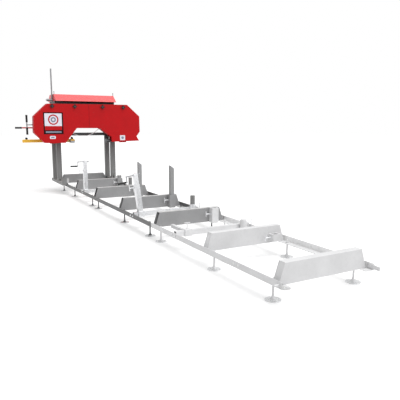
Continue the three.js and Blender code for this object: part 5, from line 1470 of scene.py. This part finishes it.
class SAWMILL_OT_engine(bpy.types.Operator):
    """Single-cylinder engine with tank, starter, muffler and air filter"""
    bl_idname = "sawmill.engine"
    bl_label = "Engine"

    def execute(self, context):
        softened("engine", "engine_block", "head", ("cast", "shroud", "hot"),
                 edge=0.004, pick=self.casing)
        self.fins()
        self.starter()
        self.fittings()
        self.muffler()
        places = [(x, 2869.4, z) for x in (640, 900) for z in (1060, 1175)]
        bolt_heads("engine_bolts", "head", places, [(0, -1, 0)] * 4, 7.5, 5.0, 10.0)
        return {"FINISHED"}

    def casing(self, x, y, z, normal):
        """Bare crankcase and cylinder, dark tank and starter, heat-tinted muffler"""
        if x > 838 and z > 1194 and y > 3000 and z < 1284:
            return 2
        return int(z > 1297 or y > 3144.5 or (x < 712 and z > 1193))

    def fins(self):
        """Thin cooling fins between the cast ones, set along the leaning cylinder"""
        tree = Repeat("cylinder fins", "cast")
        width = tree.size("Fin width", 140 * MM)
        thick = tree.size("Fin thickness", 2.4 * MM)
        tree.on_points(tree.cube(width, width, thick))
        places = [CYLINDER_FOOT + CYLINDER_LEAN * reach
                  for reach in (70, 79, 100, 108, 129, 137, 158, 166)]
        fins = run(tree, "cylinder_fins", places, facings=[CYLINDER_LEAN] * len(places))
        seated(fins, "head")

    def starter(self):
        """Recoil starter: ribbed cover, hub, and a pull handle on its cord"""
        tree = Repeat("starter ribs", "plastic")
        length = tree.size("Rib length", 58 * MM)
        tree.on_points(tree.cube(5 * MM, 3 * MM, length))
        facings = [Vector((a, 0, b)) for a, b in ring_points((0, 0), 1, 28)]
        places = [Vector((STARTER[0], 3200.6, STARTER[1])) + out * 64 for out in facings]
        seated(run(tree, "starter_ribs", places, facings=facings), "head")
        cover = Form()
        cover.turned("y", STARTER, [
            (0, 3208), (22, 3208), (26, 3205), (28, 3199), (0, 3199)], 40)
        cover.turned("y", STARTER, [
            (96, 3199), (96, 3202.5), (99, 3204), (102, 3202.5), (103, 3199)], 56)
        made(cover, "starter_cover", "head", ("shroud",))
        pull = Form()
        pull.rod([(690, 3190, 1222), (676, 3196, 1240), (664, 3200, 1250)], 1.6, 8)
        pull.rod([(640, 3200, 1250), (642, 3200, 1250), (688, 3200, 1250), (690, 3200, 1250)],
                 [6, 8, 8, 6], 16)
        made(pull, "starter_pull", "head", ("grip",))

    def fittings(self):
        """Tank cap, air filter with its wing nut, and spark plug with lead"""
        cap = Form()
        cap.turned("z", (705, 3040), [
            (0, 1367), (30, 1367), (30, 1371), (34, 1372.5), (34, 1386), (31, 1389.5), (10, 1391),
            (0, 1391)], 20)
        made(cap, "tank_cap", "head", ("plastic",))
        box = Form()
        outline = [(604, 1205), (604, 1272), (612, 1281), (692, 1281), (700, 1272), (700, 1205)]
        box.prism("y", outline, 2876, 2912, 4.0)
        made(box, "air_filter", "head", ("filter",))
        screw = Form()
        screw.turned("y", (652, 1243), [(0, 2868), (5, 2868), (6, 2870), (6, 2877), (0, 2877)], 20)
        screw.prism("y", [(636, 1240), (636, 1246), (668, 1246), (668, 1240)], 2869, 2872, 1.0)
        made(screw, "air_filter_nut", "head", ("bright",))
        plug = Form()
        tip = CYLINDER_FOOT + CYLINDER_LEAN * 150
        plug.rod([tip + Vector((0, -66, 0)), tip + Vector((0, -84, 0))], 8, 6)
        plug.rod([tip + Vector((0, -84, 0)), tip + Vector((0, -104, 4))], 5, 16)
        plug.rod([tip + Vector((0, -104, 4)), tip + Vector((-30, -112, -4)),
                  tip + Vector((-70, -100, -40)), tip + Vector((-96, -70, -80))], 3, 12)
        made(plug, "spark_plug", "head", ("plastic",))

    def muffler(self):
        """Slotted guard on the muffler and a short outlet"""
        tree = Repeat("muffler slots", "grip")
        length = tree.size("Slot length", 22 * MM)
        tree.on_points(tree.cube(length, 3.4 * MM, 1.2 * MM))
        places = [(950.5, 3022 + 26.5 * column, 1207 + 13 * row)
                  for column in range(4) for row in range(6)]
        slots = run(tree, "muffler_slots", places, facings=[(1, 0, 0)] * len(places))
        seated(slots, "head")
        pipe = Form()
        pipe.turned("y", (915, 1240), [
            (0, 3112), (13, 3112), (13, 3134), (11.5, 3136), (10, 3134), (10, 3120), (0, 3120)], 28)
        made(pipe, "muffler_outlet", "head", ("hot",))


class SAWMILL_OT_stage(bpy.types.Operator):
    """Pale floor, soft lamps, plain world and the camera"""
    bl_idname = "sawmill.stage"
    bl_label = "Stage"

    def execute(self, context):
        scene = context.scene
        data = bpy.data.meshes.new("floor")
        reach = 40.0
        corners = [(-reach, -reach, 0), (reach, -reach, 0), (reach, reach, 0), (-reach, reach, 0)]
        data.from_pydata([(x, y, z - 0.0005) for x, y, z in corners], [], [(0, 1, 2, 3)])
        floor = link(bpy.data.objects.new("floor", data))
        data.materials.append(self.floor_look())
        world = bpy.data.worlds.new("plain white")
        scene.world = world
        world.use_nodes = True
        world.node_tree.nodes.clear()
        desk = NodeDesk(world.node_tree)
        path = desk.add("ShaderNodeLightPath")
        seen = desk.math("MAXIMUM", path.outputs["Is Camera Ray"], path.outputs["Is Transmission Ray"])
        strength = desk.spread(seen, 0.62, 1.0)
        strength = desk.math("MAXIMUM", strength, desk.math(
            "MULTIPLY", path.outputs["Is Glossy Ray"], 0.8))
        sky = desk.add("ShaderNodeBackground", {"Color": (1, 1, 1, 1), "Strength": strength})
        desk.add("ShaderNodeOutputWorld", {"Surface": sky.outputs[0]})
        for lamp in LAMPS:
            self.sun(*lamp)
        self.camera(scene)
        scene.view_settings.view_transform = "Standard"
        return {"FINISHED"}

    def floor_look(self):
        """Pale floor: white to the camera, darker where the machine shades it"""
        material, desk, place = new_finish("pale floor")
        grain = desk.noise(place, 3.0)
        base = desk.mixed(grain, (0.8, 0.8, 0.8, 1), (0.83, 0.83, 0.83, 1))
        diffuse = desk.add("ShaderNodeBsdfDiffuse", {"Color": base})
        path = desk.add("ShaderNodeLightPath")
        glow = desk.add("ShaderNodeEmission", {"Color": (1, 1, 1, 1), "Strength": 0.3})
        both = desk.add("ShaderNodeAddShader", {0: diffuse.outputs[0], 1: glow.outputs[0]})
        seen = desk.math("MAXIMUM", path.outputs["Is Camera Ray"], path.outputs["Is Glossy Ray"])
        seen = desk.math("MAXIMUM", seen, path.outputs["Is Transmission Ray"])
        mix = desk.add("ShaderNodeMixShader", {0: seen, 1: diffuse.outputs[0], 2: both.outputs[0]})
        desk.add("ShaderNodeOutputMaterial", {"Surface": mix.outputs[0]})
        return material

    def sun(self, name, strength, turn, spread):
        """A far lamp; a wide spread softens its shadows"""
        lamp = bpy.data.lights.new(name, "SUN")
        lamp.energy = strength
        lamp.angle = math.radians(spread)
        piece = link(bpy.data.objects.new(name, lamp))
        piece.rotation_euler = [math.radians(a) for a in turn]

    def camera(self, scene):
        """A camera at the photograph's viewpoint"""
        yaw, pitch, roll = (math.radians(a) for a in CAMERA_TURN)
        ahead = Vector((math.sin(yaw) * math.cos(pitch), math.cos(yaw) * math.cos(pitch),
                        math.sin(pitch)))
        right = Vector((math.cos(yaw), -math.sin(yaw), 0))
        up = right.cross(ahead)
        across = right * math.cos(roll) + up * math.sin(roll)
        rise = up * math.cos(roll) - right * math.sin(roll)
        lens = bpy.data.cameras.new("camera")
        lens.sensor_width = 36
        lens.lens = CAMERA_LENS
        lens.shift_x = CAMERA_SHIFT
        lens.clip_end = 200
        piece = link(bpy.data.objects.new("camera", lens))
        turn = Matrix((across, rise, -ahead)).transposed()
        piece.matrix_world = Matrix.Translation(at(*CAMERA_PLACE)) @ turn.to_4x4()
        scene.camera = piece


class SAWMILL_PT_pieces(bpy.types.Panel):
    """Lists the makers of the machine's pieces"""
    bl_label = "Portable band sawmill"
    bl_idname = "SAWMILL_PT_pieces"
    bl_space_type = "VIEW_3D"
    bl_region_type = "UI"
    bl_category = "Sawmill"

    def draw(self, context):
        layout = self.layout
        for group in (context.scene.sawmill_sizes, context.scene.sawmill_colours):
            column = layout.column(align=True)
            for name in group.__annotations__:
                column.prop(group, name)
        column = layout.column(align=True)
        for maker in MAKERS:
            column.operator(maker.bl_idname)


MAKERS = (
    SAWMILL_OT_stage, SAWMILL_OT_track, SAWMILL_OT_log_stops, SAWMILL_OT_feet, SAWMILL_OT_crossbars,
    SAWMILL_OT_clamps, SAWMILL_OT_mast, SAWMILL_OT_carriage_wheels, SAWMILL_OT_hood, SAWMILL_OT_lift,
    SAWMILL_OT_cover, SAWMILL_OT_head_frame, SAWMILL_OT_band, SAWMILL_OT_guide_arm,
    SAWMILL_OT_tension, SAWMILL_OT_engine,
)
CLASSES = (SawmillColours, SawmillSizes, *MAKERS, SAWMILL_PT_pieces)


def register():
    for item in CLASSES:
        bpy.utils.register_class(item)
    bpy.types.Scene.sawmill_colours = PointerProperty(type=SawmillColours)
    bpy.types.Scene.sawmill_sizes = PointerProperty(type=SawmillSizes)


def unregister():
    del bpy.types.Scene.sawmill_sizes
    del bpy.types.Scene.sawmill_colours
    for item in reversed(CLASSES):
        bpy.utils.unregister_class(item)


def main():
    register()
    for maker in MAKERS:
        space, name = maker.bl_idname.split(".")
        result = getattr(getattr(bpy.ops, space), name)()
        if "FINISHED" not in result:
            raise RuntimeError(f"{maker.bl_label} wasn't finished")


if __name__ == "__main__":
    main()
